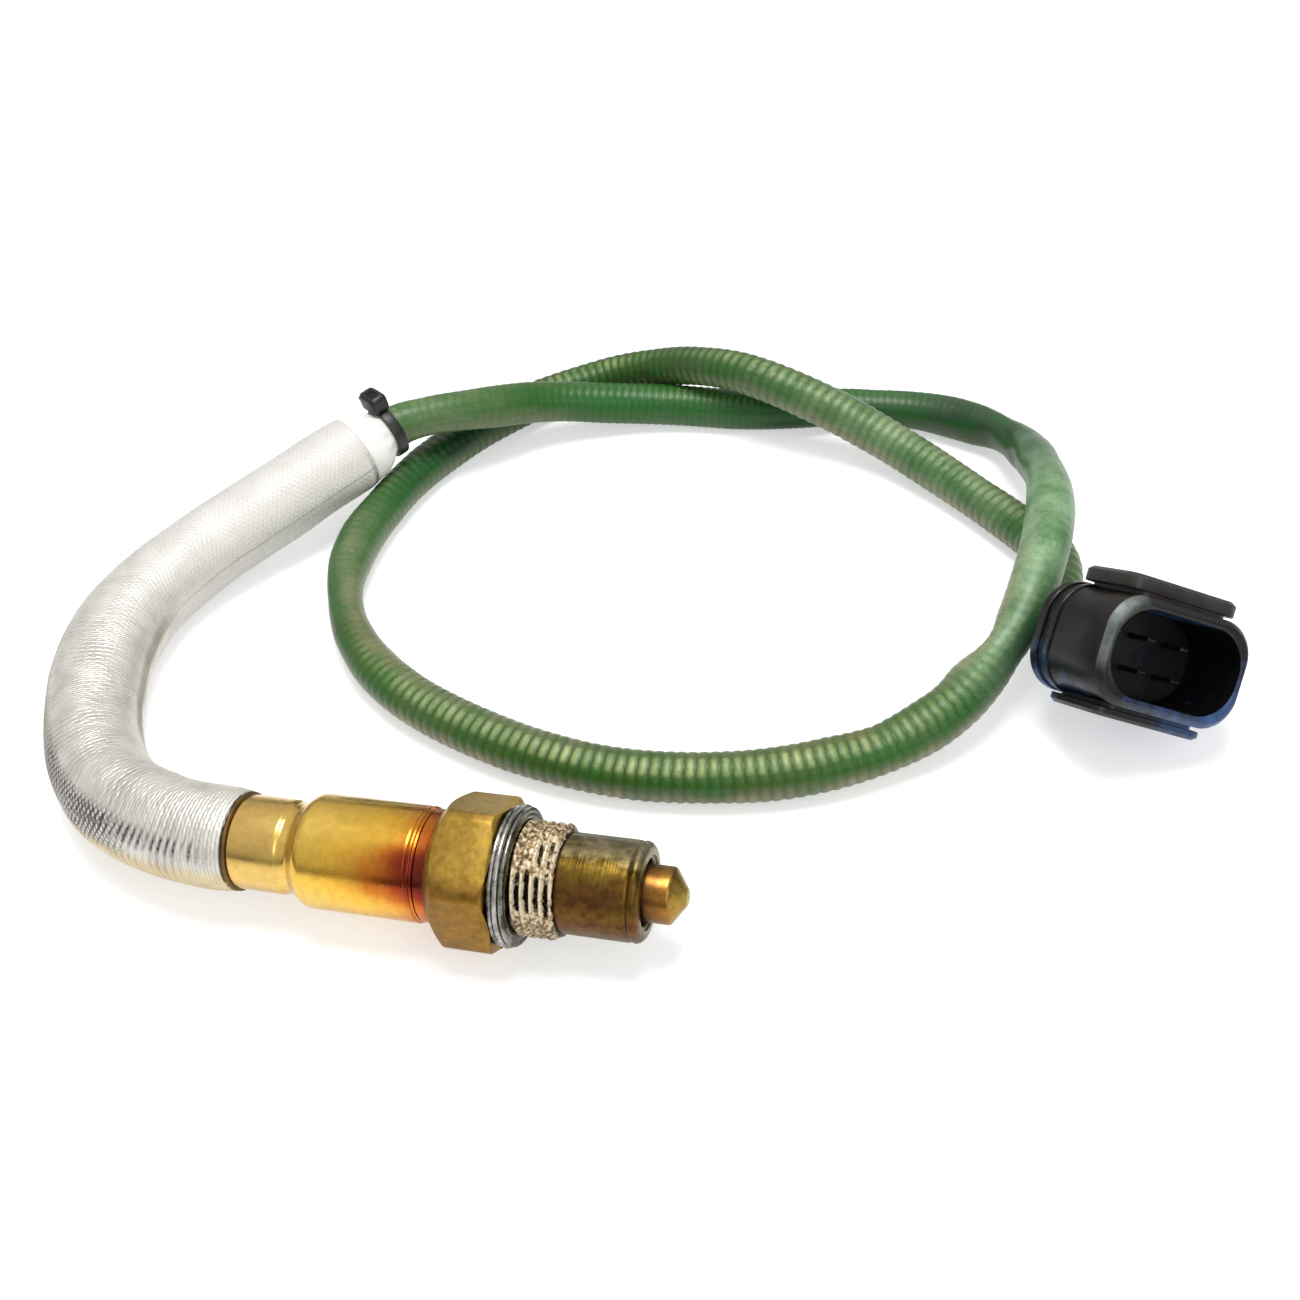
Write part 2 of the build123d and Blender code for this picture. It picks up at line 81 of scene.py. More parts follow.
def add_node(tree: bpy.types.NodeTree, kind: str, inputs: dict | Sequence = (), stops: Sequence = (),
             **settings) -> bpy.types.Node:
    """Add one shader node with its settings and links.

    Args:
        tree: node tree that receives it.
        kind: node type without the ShaderNode prefix.
        inputs: values by input name or number, or for the first inputs in order.  A hex code gives its
            colour, a socket is linked, and a node is linked from its first output in use.
        stops: places and hex colours, for a colour ramp.
        settings: plain properties of the node.

    Returns:
        The new node.
    """
    node = tree.nodes.new("ShaderNode" + kind)
    for name, value in settings.items():
        setattr(node, name, value)
    for place, (at, code) in enumerate(stops):
        elements = node.color_ramp.elements
        element = elements[place] if place < 2 else elements.new(at)
        element.position = at
        element.color = linear(code)
    for name, value in (inputs if isinstance(inputs, dict) else dict(enumerate(inputs))).items():
        if isinstance(value, bpy.types.Node):
            value = next(socket for socket in value.outputs if socket.enabled)
        if isinstance(value, bpy.types.NodeSocket):
            tree.links.new(value, node.inputs[name])
        else:
            node.inputs[name].default_value = linear(value) if isinstance(value, str) else value
    return node


def empty_tree(owner: bpy.types.Material | bpy.types.World) -> Adder:
    """Give a material or world an empty node tree.

    Args:
        owner: the material or world.

    Returns:
        add_node for its tree.
    """
    owner.use_nodes = True
    owner.node_tree.nodes.clear()
    return partial(add_node, owner.node_tree)


def unit(values: np.ndarray) -> np.ndarray:
    """Clip values to between 0 and 1."""
    return np.clip(values, 0, 1)


def circle(count: int) -> np.ndarray:
    """Angles of count points that go once round."""
    return np.arange(count) / count * TAU


def make_object(name: str, verts: np.ndarray, faces: list, uv: np.ndarray | None = None, marks: Marks = None,
                sharp: float = 40.0) -> bpy.types.Object:
    """Make a mesh object at the origin, with outward faces.

    Args:
        name: object name.
        verts: points in millimetres, one row each.
        faces: tuples of point numbers.
        uv: surface place of each point in millimetres, or None.
        marks: named values between 0 and 1 for each point.
        sharp: edges turning by more than this many degrees stay crisp.

    Returns:
        The linked object.
    """
    mesh = bpy.data.meshes.new(name)
    mesh.from_pydata((verts * MM).tolist(), [], faces)
    if uv is not None:
        loops = np.empty(len(mesh.loops), dtype=np.int64)
        mesh.loops.foreach_get("vertex_index", loops)
        mesh.uv_layers.new(name="Surface").data.foreach_set("uv", uv[loops].astype(np.float32).ravel())
    for mark, values in (marks or {}).items():
        mesh.attributes.new(mark, "FLOAT", "POINT").data.foreach_set("value", values.astype(np.float32).ravel())
    work = bmesh.new()
    work.from_mesh(mesh)
    bmesh.ops.recalc_face_normals(work, faces=work.faces)
    work.to_mesh(mesh)
    work.free()
    mesh.shade_smooth()
    mesh.set_sharp_from_angle(angle=radians(sharp))
    piece = bpy.data.objects.new(name, mesh)
    bpy.context.scene.collection.objects.link(piece)
    return piece


def grid_faces(rows: int, cols: int, close_rows: bool, offset: int = 0) -> list:
    """List the quads of a grid whose columns wrap round.

    Args:
        rows: number of rows.
        cols: number of columns.
        close_rows: the last row joins the first.
        offset: number of the first point.

    Returns:
        Four point numbers for each quad.
    """
    r = np.arange(rows if close_rows else rows - 1)[:, None]
    c = np.arange(cols)[None, :]
    down, along = (r + 1) % rows, (c + 1) % cols
    quads = np.stack([r * cols + c, r * cols + along, down * cols + along, down * cols + c], axis=-1)
    return (quads.reshape(-1, 4) + offset).tolist()


def lay_grid(name: str, points: np.ndarray, closed: bool = False, uv: np.ndarray | None = None,
             marks: Marks = None, sharp: float = 40.0) -> bpy.types.Object:
    """Skin a rows x columns x 3 grid whose columns wrap round.

    Args:
        name: object name.
        points: the grid, in millimetres.
        closed: the last row joins the first; otherwise each end is closed by a fan.
        uv: rows x columns x 2 surface places, or None.
        marks: named rows x columns values.
        sharp: crisp edge angle in degrees.

    Returns:
        The new object.
    """
    rows, cols = points.shape[:2]
    faces = grid_faces(rows, cols, closed)
    layers = {"at": points, **({} if uv is None else {"uv": uv}), **(marks or {})}
    layers = {key: value.reshape(rows * cols, -1) for key, value in layers.items()}
    if not closed:
        ring = np.arange(cols)
        for hub, row in enumerate((0, rows - 1), rows * cols):
            first = row * cols
            faces += np.stack([first + ring, first + (ring + 1) % cols, np.full(cols, hub)], axis=-1).tolist()
            layers = {key: np.vstack([value, points[row].mean(axis=0) if key == "at" else value[first]])
                      for key, value in layers.items()}
    return make_object(name, layers.pop("at"), faces, layers.pop("uv", None), layers, sharp)


def soften(corners: Sequence[Sequence[float]], radius: float, steps: int = 4, closed: bool = True) -> np.ndarray:
    """Round the corners of an outline with quadratic curves.

    Args:
        corners: outline points.
        radius: reach of each rounding; it never takes half a side.
        steps: points on each rounding.
        closed: the outline returns to its start.

    Returns:
        The softened outline.
    """
    p = np.asarray(corners, dtype=float)
    ends = []
    for way in (1, -1):
        side = np.roll(p, way, axis=0) - p
        length = np.linalg.norm(side, axis=1, keepdims=True)
        ends.append((p + side / length * np.minimum(radius, 0.45 * length))[:, None])
    t = np.linspace(0, 1, steps)[None, :, None]
    bends = (1 - t) ** 2 * ends[0] + 2 * t * (1 - t) * p[:, None] + t ** 2 * ends[1]
    if closed:
        return bends.reshape(-1, p.shape[1])
    return np.vstack([p[:1], bends[1:-1].reshape(-1, p.shape[1]), p[-1:]])


def turn_about_x(profile: np.ndarray, segments: int) -> np.ndarray:
    """Turn a profile about the X axis.

    Args:
        profile: (x, radius) rows.
        segments: number of angles.

    Returns:
        Rows x segments points.
    """
    angle = circle(segments)
    x = np.repeat(profile[:, :1], segments, axis=1)
    return np.stack([x, profile[:, 1:] * np.cos(angle), profile[:, 1:] * np.sin(angle)], axis=-1)


def ripple(u: np.ndarray, v: np.ndarray, seed: int) -> np.ndarray:
    """Smooth repeatable noise: a sum of sines with mixed directions and phases.

    Args:
        u: first place.
        v: second place.
        seed: picks the directions and phases.

    Returns:
        Values mostly between -1 and 1.
    """
    rng = np.random.default_rng(seed)
    waves, phase = rng.uniform(-1, 1, (7, 2)), rng.uniform(0, TAU, 7)
    total = sum(np.sin(TAU * (a * u + b * v) + ph) for (a, b), ph in zip(waves, phase))
    return total / 4.0


def gaussian(values: np.ndarray, reach: int) -> np.ndarray:
    """Smooth a row of values with a bell curve of the given reach in samples, holding its ends."""
    bell = np.exp(-0.5 * (np.arange(-2 * reach, 2 * reach + 1) / reach * 1.6) ** 2)
    return np.convolve(np.pad(values, 2 * reach, mode="edge"), bell / bell.sum(), mode="valid")


# ---- finishes ----------------------------------------------------------------
@dataclass(frozen=True)
class Finish:
    """A surface as it was made, with the values that its shader starts from."""

    name: str

    def shade(self, add: Adder) -> bpy.types.Node:
        """Build the nodes with add and return the Principled shader."""
        raise NotImplementedError

    def material(self) -> bpy.types.Material:
        """Make the material once.

        Returns:
            The material, from an earlier call if there was one.
        """
        found = bpy.data.materials.get(self.name)
        if found:
            return found
        made = bpy.data.materials.new(self.name)
        add = empty_tree(made)
        add("OutputMaterial", {"Surface": self.shade(add)})
        return made


@dataclass(frozen=True)
class TintedSteel(Finish):
    """Stainless steel, turned or drawn, with oxide tints left by heat along the sensor's axis.

    The tint is a colour ramp along X.  It lags behind by side_lag away from the side named by facing, so
    the darkest oxide is a patch and not a ring, and soft stains shift it.  A negative side_lag moves the
    sides away from facing up the ramp instead, which on the hexagon and the outer tube is painted light on
    those sides, with painted shade on the side that faces the front.  Fine rings round the axis, ring_mm
    apart, stand for the drawing and turning marks; they are drawn coarser than real ones.
    """

    stops: tuple = ()
    x_from: float = 0.0
    x_to: float = 1.0
    facing: tuple = (0.0, -0.88, 0.47)
    reach_mm: float = 9.15
    window: tuple = (0.25, 0.95)
    side_lag: float = 0.0
    roughness: float = 0.28
    stain: float = 0.12
    grime: float = 0.25
    ring_mm: float = 0.5
    bump: float = 0.05

    def shade(self, add: Adder) -> bpy.types.Node:
        """Colour by place along X and round the axis, darkened by grime, with ring marks in the bump.

        Args:
            add: add_node for the material's tree.

        Returns:
            The Principled shader.
        """
        coords = add("TexCoord").outputs["Object"]
        place = add("SeparateXYZ", (coords,)).outputs["X"]
        smudge = add("TexNoise", {"Vector": coords, "Scale": 170.0, "Detail": 6.0, "Roughness": 0.6})
        along = add("MapRange", (place, self.x_from * MM, self.x_to * MM))
        # the lag by side: an oxide patch on the sleeve and the tip; painted shade on the front and painted light on
        # the far side for the hexagon and the outer tube
        turned = add("VectorMath", (coords, self.facing), operation="DOT_PRODUCT")
        start, stop = (share * self.reach_mm * MM for share in self.window)
        lag = add("MapRange", (turned, start, stop, -self.side_lag, 0.0), interpolation_type="SMOOTHSTEP")
        drift = add("MapRange", (smudge, *NOISE, -self.stain, self.stain))
        heat = add("Math", (along, lag), operation="ADD")
        heat = add("Math", (heat, drift), operation="ADD")
        tint = add("ValToRGB", (heat,), self.stops)
        speck = add("TexNoise", {"Vector": coords, "Scale": 700.0, "Detail": 5.0, "Roughness": 0.65})
        dirt = add("MapRange", (speck, 0.3, 0.62, 1.0 - self.grime, 1.04))
        toned = add("Mix", {0: 1.0, 6: tint, 7: dirt}, data_type="RGBA", blend_type="MULTIPLY")
        rings = add("TexNoise", {"W": place, "Scale": 1 / (self.ring_mm * MM), "Detail": 2.0},
                    noise_dimensions="1D")
        gloss = add("MapRange", (smudge, *NOISE, self.roughness * 0.75, self.roughness * 1.35))
        marks = add("Bump", {"Height": rings, "Strength": 1.0, "Distance": self.bump * MM})
        dents = add("Bump", {"Height": smudge, "Strength": 0.6, "Distance": 0.12 * MM, "Normal": marks})
        return add("BsdfPrincipled", {"Base Color": toned, "Metallic": 1.0, "Roughness": gloss, "Normal": dents})


@dataclass(frozen=True)
class PastedThread(Finish):
    """Rolled steel thread under dried anti-seize paste, thick on its crests and smeared over its lower side."""

    steel: str = "#1E1814"
    dried: str = "#4E3E30"
    paste: str = "#A38860"
    pale: str = "#E0D2B4"

    def shade(self, add: Adder) -> bpy.types.Node:
        """Dark steel shows where neither the crest mark, the smear mark nor the blotches bring paste.

        Args:
            add: add_node for the material's tree.

        Returns:
            The Principled shader.
        """
        coords = add("TexCoord").outputs["Object"]
        crest, smear = (add("Attribute", attribute_name=mark).outputs["Fac"] for mark in ("crest", "smear"))
        blot = add("TexNoise", {"Vector": coords, "Scale": 620.0, "Detail": 6.0, "Roughness": 0.7})
        fleck = add("TexNoise", {"Vector": coords, "Scale": 1500.0, "Detail": 4.0})
        lift = add("Math", (crest, 0.4, blot), operation="MULTIPLY_ADD")
        fill = add("Math", (smear, 0.32, lift), operation="MULTIPLY_ADD")
        cover = add("MapRange", (fill, 0.58, 0.7), interpolation_type="SMOOTHSTEP")
        # the thin paste mark also makes the paste paler: a painted highlight on the upper front and top
        fresh = add("Attribute", attribute_name="fresh").outputs["Fac"]
        paler = add("Math", (fresh, 0.2, fleck), operation="MULTIPLY_ADD")
        paste = add("ValToRGB", (paler,), ((0.4, self.dried), (0.5, self.paste), (0.66, self.pale)))
        colour = add("Mix", {0: cover, 6: self.steel, 7: paste}, data_type="RGBA")
        metal = add("MapRange", (cover, 0.0, 1.0, 1.0, 0.3))
        rough = add("MapRange", (cover, 0.0, 1.0, 0.3, 0.5))
        relief = add("Math", (cover, fleck), operation="ADD")
        bump = add("Bump", {"Height": relief, "Strength": 1.0, "Distance": 0.16 * MM})
        return add("BsdfPrincipled", {"Base Color": colour, "Metallic": metal, "Roughness": rough, "Normal": bump})


@dataclass(frozen=True)
class WovenFoil(Finish):
    """Glass-fibre sleeving faced with aluminium foil: bright, with crosswise threads and a woven grid in it.

    The threads run round the sleeve thread_mm apart, drawn about twice as coarse as real ones so that they
    show, with painted shade in the grooves between them.  The diagonal grid, grid_mm apart, darkens only
    where the weave mark says that it is rubbed through.  The valley mark adds painted shade in the wrinkles,
    a painted shadow at the sleeve's end and dark dashes, and the tint mark paints shade down the outer side
    and along the inner edge and a cream highlight near the sensor.
    """

    bright: str = "#E6E3DA"
    bleached: str = "#DBD9D3"
    shadow: str = "#A3A09A"
    # colour of the rubbed-through grid, also used for the valley mark's painted shade; the two colours after it are
    # painted shade and a painted cream highlight
    rubbed: str = "#4E4648"
    painted_shade: str = "#B4AEA4"
    cream_highlight: str = "#FFEFC6"
    thread_mm: float = 0.95
    grid_mm: float = 1.5

    def shade(self, add: Adder) -> bpy.types.Node:
        """Thread lines in the bump, and a foil colour that darkens in the rubbed grid and, as painted shade, in the
        wrinkles.

        Args:
            add: add_node for the material's tree.

        Returns:
            The Principled shader.
        """
        place = add("UVMap", uv_map="Surface")
        cloud = add("TexNoise", {"Vector": place, "Scale": 0.22, "Detail": 5.0})
        fray = add("TexNoise", {"Vector": place, "Scale": 1.1, "Detail": 3.0})
        threads = add("TexWave", {"Vector": place, "Scale": 1 / (2 * self.thread_mm), "Distortion": 1.6,
                                  "Detail": 2.0, "Detail Scale": 1.5}, bands_direction="Y").outputs["Fac"]
        grid = []
        for turn in (35, -35):
            turned = add("Mapping", {"Vector": place, "Rotation": (0, 0, radians(turn))})
            wave = add("TexWave", {"Vector": turned, "Scale": 1 / (2 * self.grid_mm), "Distortion": 0.6},
                       bands_direction="Y")
            grid.append(wave.outputs["Fac"])
        crossed = add("Math", grid, operation="MULTIPLY")
        weave, valley = (add("Attribute", attribute_name=mark).outputs["Fac"] for mark in ("weave", "valley"))
        hole = add("MapRange", (crossed, 0.02, 0.3, 1.0, 0.0))
        worn = add("Math", (hole, weave), operation="MULTIPLY")
        # the valley mark: painted shade in the wrinkles and at the sleeve's end, and dark dashes
        streak = add("Math", (valley, fray), operation="MULTIPLY")
        streak = add("Math", (streak, 1.9), operation="MULTIPLY", use_clamp=True)
        # painted shade in the grooves between threads, with soft random mottling
        line = add("MapRange", (threads, 0.1, 0.7, 0.3, 0.0))
        soft = add("MapRange", (cloud, 0.35, 0.65, 0.0, 0.35))
        shade = add("Math", (line, soft), operation="ADD", use_clamp=True)
        bleach = add("Attribute", attribute_name="bleach").outputs["Fac"]
        clean = add("Mix", {0: bleach, 6: self.bright, 7: self.bleached}, data_type="RGBA")
        kept = add("MapRange", (bleach, 0.0, 1.0, 1.0, 0.35))
        shade = add("Math", (shade, kept), operation="MULTIPLY")
        foil = add("Mix", {0: shade, 6: clean, 7: self.shadow}, data_type="RGBA")
        # the tint mark: painted shade below its middle, a painted cream highlight above it
        tint = add("Attribute", attribute_name="tint").outputs["Fac"]
        cast = add("ValToRGB", (tint,), ((0.0, self.painted_shade), (0.5, "#FFFFFF"), (1.0, self.cream_highlight)))
        foil = add("Mix", {0: 1.0, 6: foil, 7: cast}, data_type="RGBA", blend_type="MULTIPLY")
        metal = add("MapRange", (bleach, 0.0, 1.0, 0.55, 0.1))
        dark = add("Math", (worn, streak), operation="ADD", use_clamp=True)
        colour = add("Mix", {0: dark, 6: foil, 7: self.rubbed}, data_type="RGBA")
        height = add("Math", (threads, crossed), operation="ADD")
        bump = add("Bump", {"Height": height, "Strength": 0.8, "Distance": 0.07 * MM})
        return add("BsdfPrincipled", {"Base Color": colour, "Metallic": metal, "Roughness": 0.42, "Normal": bump})


@dataclass(frozen=True)
class RibbedSleeve(Finish):
    """Extruded green polyamide conduit: satin, with painted shade in its grooves, rubbed pale where it was bent.

    Marks on the mesh say where it is olive with age; where it is dark, as painted shadow where the runs
    cross and lie against other parts and in darker stretches; where its upper crests carry a painted
    highlight; where it is rubbed; and where its underside and upper back are pale with dust and painted
    reflection.
    """

    base: str = "#175E1A"
    # the dark colour goes on as painted shadow, the crest colour as a painted highlight, and the dust colour also as
    # painted reflection
    olive: str = "#3B5513"
    dark: str = "#0D3216"
    crest_highlight: str = "#A4B478"
    rubbed: str = "#86A47E"
    dusty_and_reflecting: str = "#A0957A"
    groove: str = "#16340F"
    gloss: float = 0.32
    roughness: float = 0.36

    def shade(self, add: Adder) -> bpy.types.Node:
        """Lay the tones over the base by their marks, each broken up by long stains.

        Args:
            add: add_node for the material's tree.

        Returns:
            The Principled shader.
        """
        place = add("UVMap", uv_map="Surface")
        stain = add("TexNoise", {"Vector": place, "Scale": 0.12, "Detail": 7.0, "Roughness": 0.62})
        fine = add("TexNoise", {"Vector": place, "Scale": 1.5, "Detail": 4.0})
        broken = add("MapRange", (stain, 0.36, 0.62, 0.35, 1.15))
        colour = self.base
        # olive and rubbed are the conduit's own; dark is painted shadow with darker stretches, crest a painted
        # highlight, dust partly painted reflection
        for mark, tone in (("olive", self.olive), ("dark", self.dark), ("crest", self.crest_highlight), ("wear", self.rubbed),
                           ("dust", self.dusty_and_reflecting)):
            amount = add("Attribute", attribute_name=mark).outputs["Fac"]
            amount = add("Math", (amount, broken), operation="MULTIPLY", use_clamp=True)
            colour = add("Mix", {0: amount, 6: colour, 7: tone}, data_type="RGBA")
        # painted shade in the rib grooves
        groove = add("Attribute", attribute_name="groove").outputs["Fac"]
        depth = add("Math", (groove, 0.38), operation="MULTIPLY")
        grooved = add("Mix", {0: depth, 6: colour, 7: self.groove}, data_type="RGBA")
        tone = add("MapRange", (fine, *NOISE, 0.82, 1.12))
        toned = add("Mix", {0: 1.0, 6: grooved, 7: tone}, data_type="RGBA", blend_type="MULTIPLY")
        rough = add("MapRange", (fine, *NOISE, self.roughness - 0.06, self.roughness + 0.1))
        bump = add("Bump", {"Height": fine, "Strength": 0.4, "Distance": 0.025 * MM})
        return add("BsdfPrincipled", {"Base Color": toned, "Specular IOR Level": self.gloss, "Roughness": rough,
                                      "Normal": bump})


@dataclass(frozen=True)
class SocketBlack(Finish):
    """Black glass-filled polyester with painted reflections, blue low and brown high, and a painted rim highlight."""

    # low and high are painted reflections, blue below and brown above; rim is a painted highlight
    low: str = "#33507F"
    middle: str = "#060608"
    high: str = "#15100D"
    rim: str = "#7A847E"
    gloss: float = 0.35
    roughness: float = 0.34

    def shade(self, add: Adder) -> bpy.types.Node:
        """Painted reflection by the height mark, painted highlight by the rim mark, and the grain of a spark-eroded
        mould.

        Args:
            add: add_node for the material's tree.

        Returns:
            The Principled shader.
        """
        coords = add("TexCoord").outputs["Object"]
        height, rim = (add("Attribute", attribute_name=mark).outputs["Fac"] for mark in ("height", "rim"))
        cloud = add("TexNoise", {"Vector": coords, "Scale": 260.0, "Detail": 6.0, "Roughness": 0.65})
        grain = add("TexNoise", {"Vector": coords, "Scale": 2600.0, "Detail": 2.0})
        drift = add("MapRange", (cloud, *NOISE, -0.14, 0.14))
        level = add("Math", (height, drift), operation="ADD")
        body = add("ValToRGB", (level,), ((0.3, self.low), (0.56, self.middle), (0.7, self.middle),
                                          (0.95, self.high)))
        # the painted rim highlight, broken up by noise
        highlight_break = add("MapRange", (cloud, 0.35, 0.6, 0.45, 1.0))
        amount = add("Math", (rim, highlight_break), operation="MULTIPLY", use_clamp=True)
        colour = add("Mix", {0: amount, 6: body, 7: self.rim}, data_type="RGBA")
        rough = add("MapRange", (cloud, *NOISE, self.roughness - 0.08, self.roughness + 0.12))
        bump = add("Bump", {"Height": grain, "Strength": 0.5, "Distance": 0.03 * MM})
        return add("BsdfPrincipled", {"Base Color": colour, "Specular IOR Level": self.gloss, "Roughness": rough,
                                      "Normal": bump})


@dataclass(frozen=True)
class Moulded(Finish):
    """Injection-moulded plastic, rubber or fired ceramic: one colour, faint mottling and a fine grain."""

    colour: str
    worn: str
    roughness: float
    grain_mm: float = 0.35
    relief_mm: float = 0.02
    metallic: float = 0.0

    def shade(self, add: Adder) -> bpy.types.Node:
        """Two close tones by soft noise, uneven gloss and a fine moulded grain.

        Args:
            add: add_node for the material's tree.

        Returns:
            The Principled shader.
        """
        coords = add("TexCoord").outputs["Object"]
        cloud = add("TexNoise", {"Vector": coords, "Scale": 160.0, "Detail": 5.0})
        grain = add("TexNoise", {"Vector": coords, "Scale": 1 / (self.grain_mm * MM), "Detail": 2.0})
        tone = add("MapRange", (cloud, 0.42, 0.72))
        colour = add("Mix", {0: tone, 6: self.colour, 7: self.worn}, data_type="RGBA")
        rough = add("MapRange", (cloud, *NOISE, self.roughness - 0.07, self.roughness + 0.12))
        bump = add("Bump", {"Height": grain, "Strength": 0.5, "Distance": self.relief_mm * MM})
        return add("BsdfPrincipled", {"Base Color": colour, "Metallic": self.metallic, "Roughness": rough,
                                      "Normal": bump})


class Surface(Enum):
    """Finishes of the sensor's pieces, named for the real material."""

    SLEEVE = TintedSteel(
        "deep_drawn_stainless_gold_tint", x_from=-48.0, x_to=-13.4, facing=(0.0, -0.83, 0.56), window=(0.8, 0.99),
        side_lag=0.18, roughness=0.24, stain=0.04, grime=0.14, ring_mm=0.9, bump=0.01,
        stops=((0.0, "#D6B266"), (0.25, "#DEBB5E"), (0.55, "#E4B546"), (0.67, "#D69E3C"), (0.76, "#C4742A"),
               (0.84, "#A04823"), (0.9, "#7E3020"), (1.0, "#6E2C24")))
    # painted shade on the flat that faces straight to the front and painted light on the flats above it, from the
    # negative side_lag
    HEXAGON = TintedSteel(
        "zinc_yellow_passivated_steel", x_from=-65.0, x_to=45.0, facing=(0.0, -1.0, 0.0), reach_mm=11.0,
        window=(0.6, 1.0), side_lag=-0.35, roughness=0.38, stain=0.06, grime=0.35, ring_mm=0.4, bump=0.015,
        stops=((0.42, "#765424"), (0.5, "#886320"), (0.62, "#987334"), (0.8, "#B8933F"), (0.95, "#C09C48")))
    RING = TintedSteel(
        "bare_stainless_ring", x_from=-2.8, x_to=0.0, roughness=0.26, stain=0.3, grime=0.75, ring_mm=0.25,
        stops=((0.0, "#3E3A34"), (0.12, "#A8A6A2"), (0.5, "#B8B6B2"), (0.9, "#8E8C80"), (1.0, "#4A463C")))
    # painted shade on the outer tube's front and painted light on its upper back side, from the negative side_lag
    OUTER_TUBE = TintedSteel(
        "heat_browned_stainless_tube", x_from=-80.0, x_to=160.0, facing=(0.0, -0.95, 0.3), reach_mm=7.75,
        window=(0.2, 1.0), side_lag=-0.5, roughness=0.36, stain=0.13, grime=0.55, ring_mm=0.4, bump=0.03,
        stops=((0.2, "#52301E"), (0.38, "#6C4727"), (0.52, "#66501F"), (0.66, "#433612"), (0.8, "#82744F"),
               (0.95, "#958A70")))
    TIP = TintedSteel(
        "heat_gilded_stainless_tip", x_from=19.0, x_to=25.7, facing=(0.0, -0.3, 0.95), reach_mm=4.4, side_lag=0.2,
        roughness=0.32, stain=0.12, grime=0.4, ring_mm=0.4, bump=0.02,
        stops=((0.0, "#5E4222"), (0.35, "#8E6230"), (0.6, "#A67C3A"), (0.85, "#94883E"), (1.0, "#7E8450")))
    COLLAR = TintedSteel(
        "oxidised_steel_collar", x_from=-48.0, x_to=-46.0, roughness=0.4, stain=0.3,
        stops=((0.0, "#4A3826"), (0.4, "#6E5838"), (1.0, "#8A7048")))
    THREAD = PastedThread("rolled_thread_with_paste")
    FOIL = WovenFoil("aluminised_glass_sleeving")
    CONDUIT = RibbedSleeve("extruded_green_polyamide")
    PBT = SocketBlack("black_glass_filled_polyester")
    END_BAND = Moulded("white_glass_tape", "#F2F1EC", "#E4E2DA", roughness=0.5, relief_mm=0.05)
    NYLON = Moulded("black_nylon", "#080807", "#12110F", roughness=0.42)
    CARRIER = Moulded("black_contact_carrier", "#040405", "#0A0A0C", roughness=0.6)
    RUBBER = Moulded("black_silicone_rubber", "#131313", "#242424", roughness=0.55)
    CERAMIC = Moulded("fired_alumina", "#E4E0D6", "#D2CDC0", roughness=0.6)
    TALC = Moulded("pressed_talc", "#D6D2C6", "#C2BDB0", roughness=0.85)
    CONTACT = Moulded("tarnished_tinned_bronze", "#4A4438", "#2E2A24", roughness=0.5, metallic=1.0)
    WIRE = Moulded("wire_cover", "#17171A", "#2A2A2E", roughness=0.45)

    def material(self) -> bpy.types.Material:
        """The finish's material."""
        return self.value.material()


def dress(piece: bpy.types.Object, surface: Surface, slot: str, *replaced: str) -> bpy.types.Object:
    """Give a piece its material and its place in the frame.

    Args:
        piece: the new piece.
        surface: its finish, unless it has its materials already.
        slot: name of a material slot, which is only logged.
        replaced: CAD nodes that it stands for.

    Returns:
        The same piece.
    """
    if not piece.data.materials:
        piece.data.materials.append(surface.material())
    if replaced:
        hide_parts(*replaced)
    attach(piece, BODY)
    LOG.info("%s made, slot %s", piece.name, slot)
    return piece


# ---- camera, light and table -------------------------------------------------
def hang(name: str, data: bpy.types.ID, place: Sequence, back: Sequence, side: Sequence) -> bpy.types.Object:
    """Hang a camera or lamp in the scene.

    Args:
        name: object name.
        data: its camera or lamp data.
        place: where it is, in millimetres.
        back: direction straight behind it.
        side: roughly the direction to its right.

    Returns:
        The new object.
    """
    back = np.array(back) / np.linalg.norm(back)
    side = np.array(side) - back * np.dot(side, back)
    side /= np.linalg.norm(side)
    turn = np.eye(4)
    turn[:3] = np.stack([side, np.cross(back, side), back, np.array(place) * MM], axis=1)
    item = bpy.data.objects.new(name, data)
    item.matrix_world = Matrix(turn.tolist())
    bpy.context.scene.collection.objects.link(item)
    return item


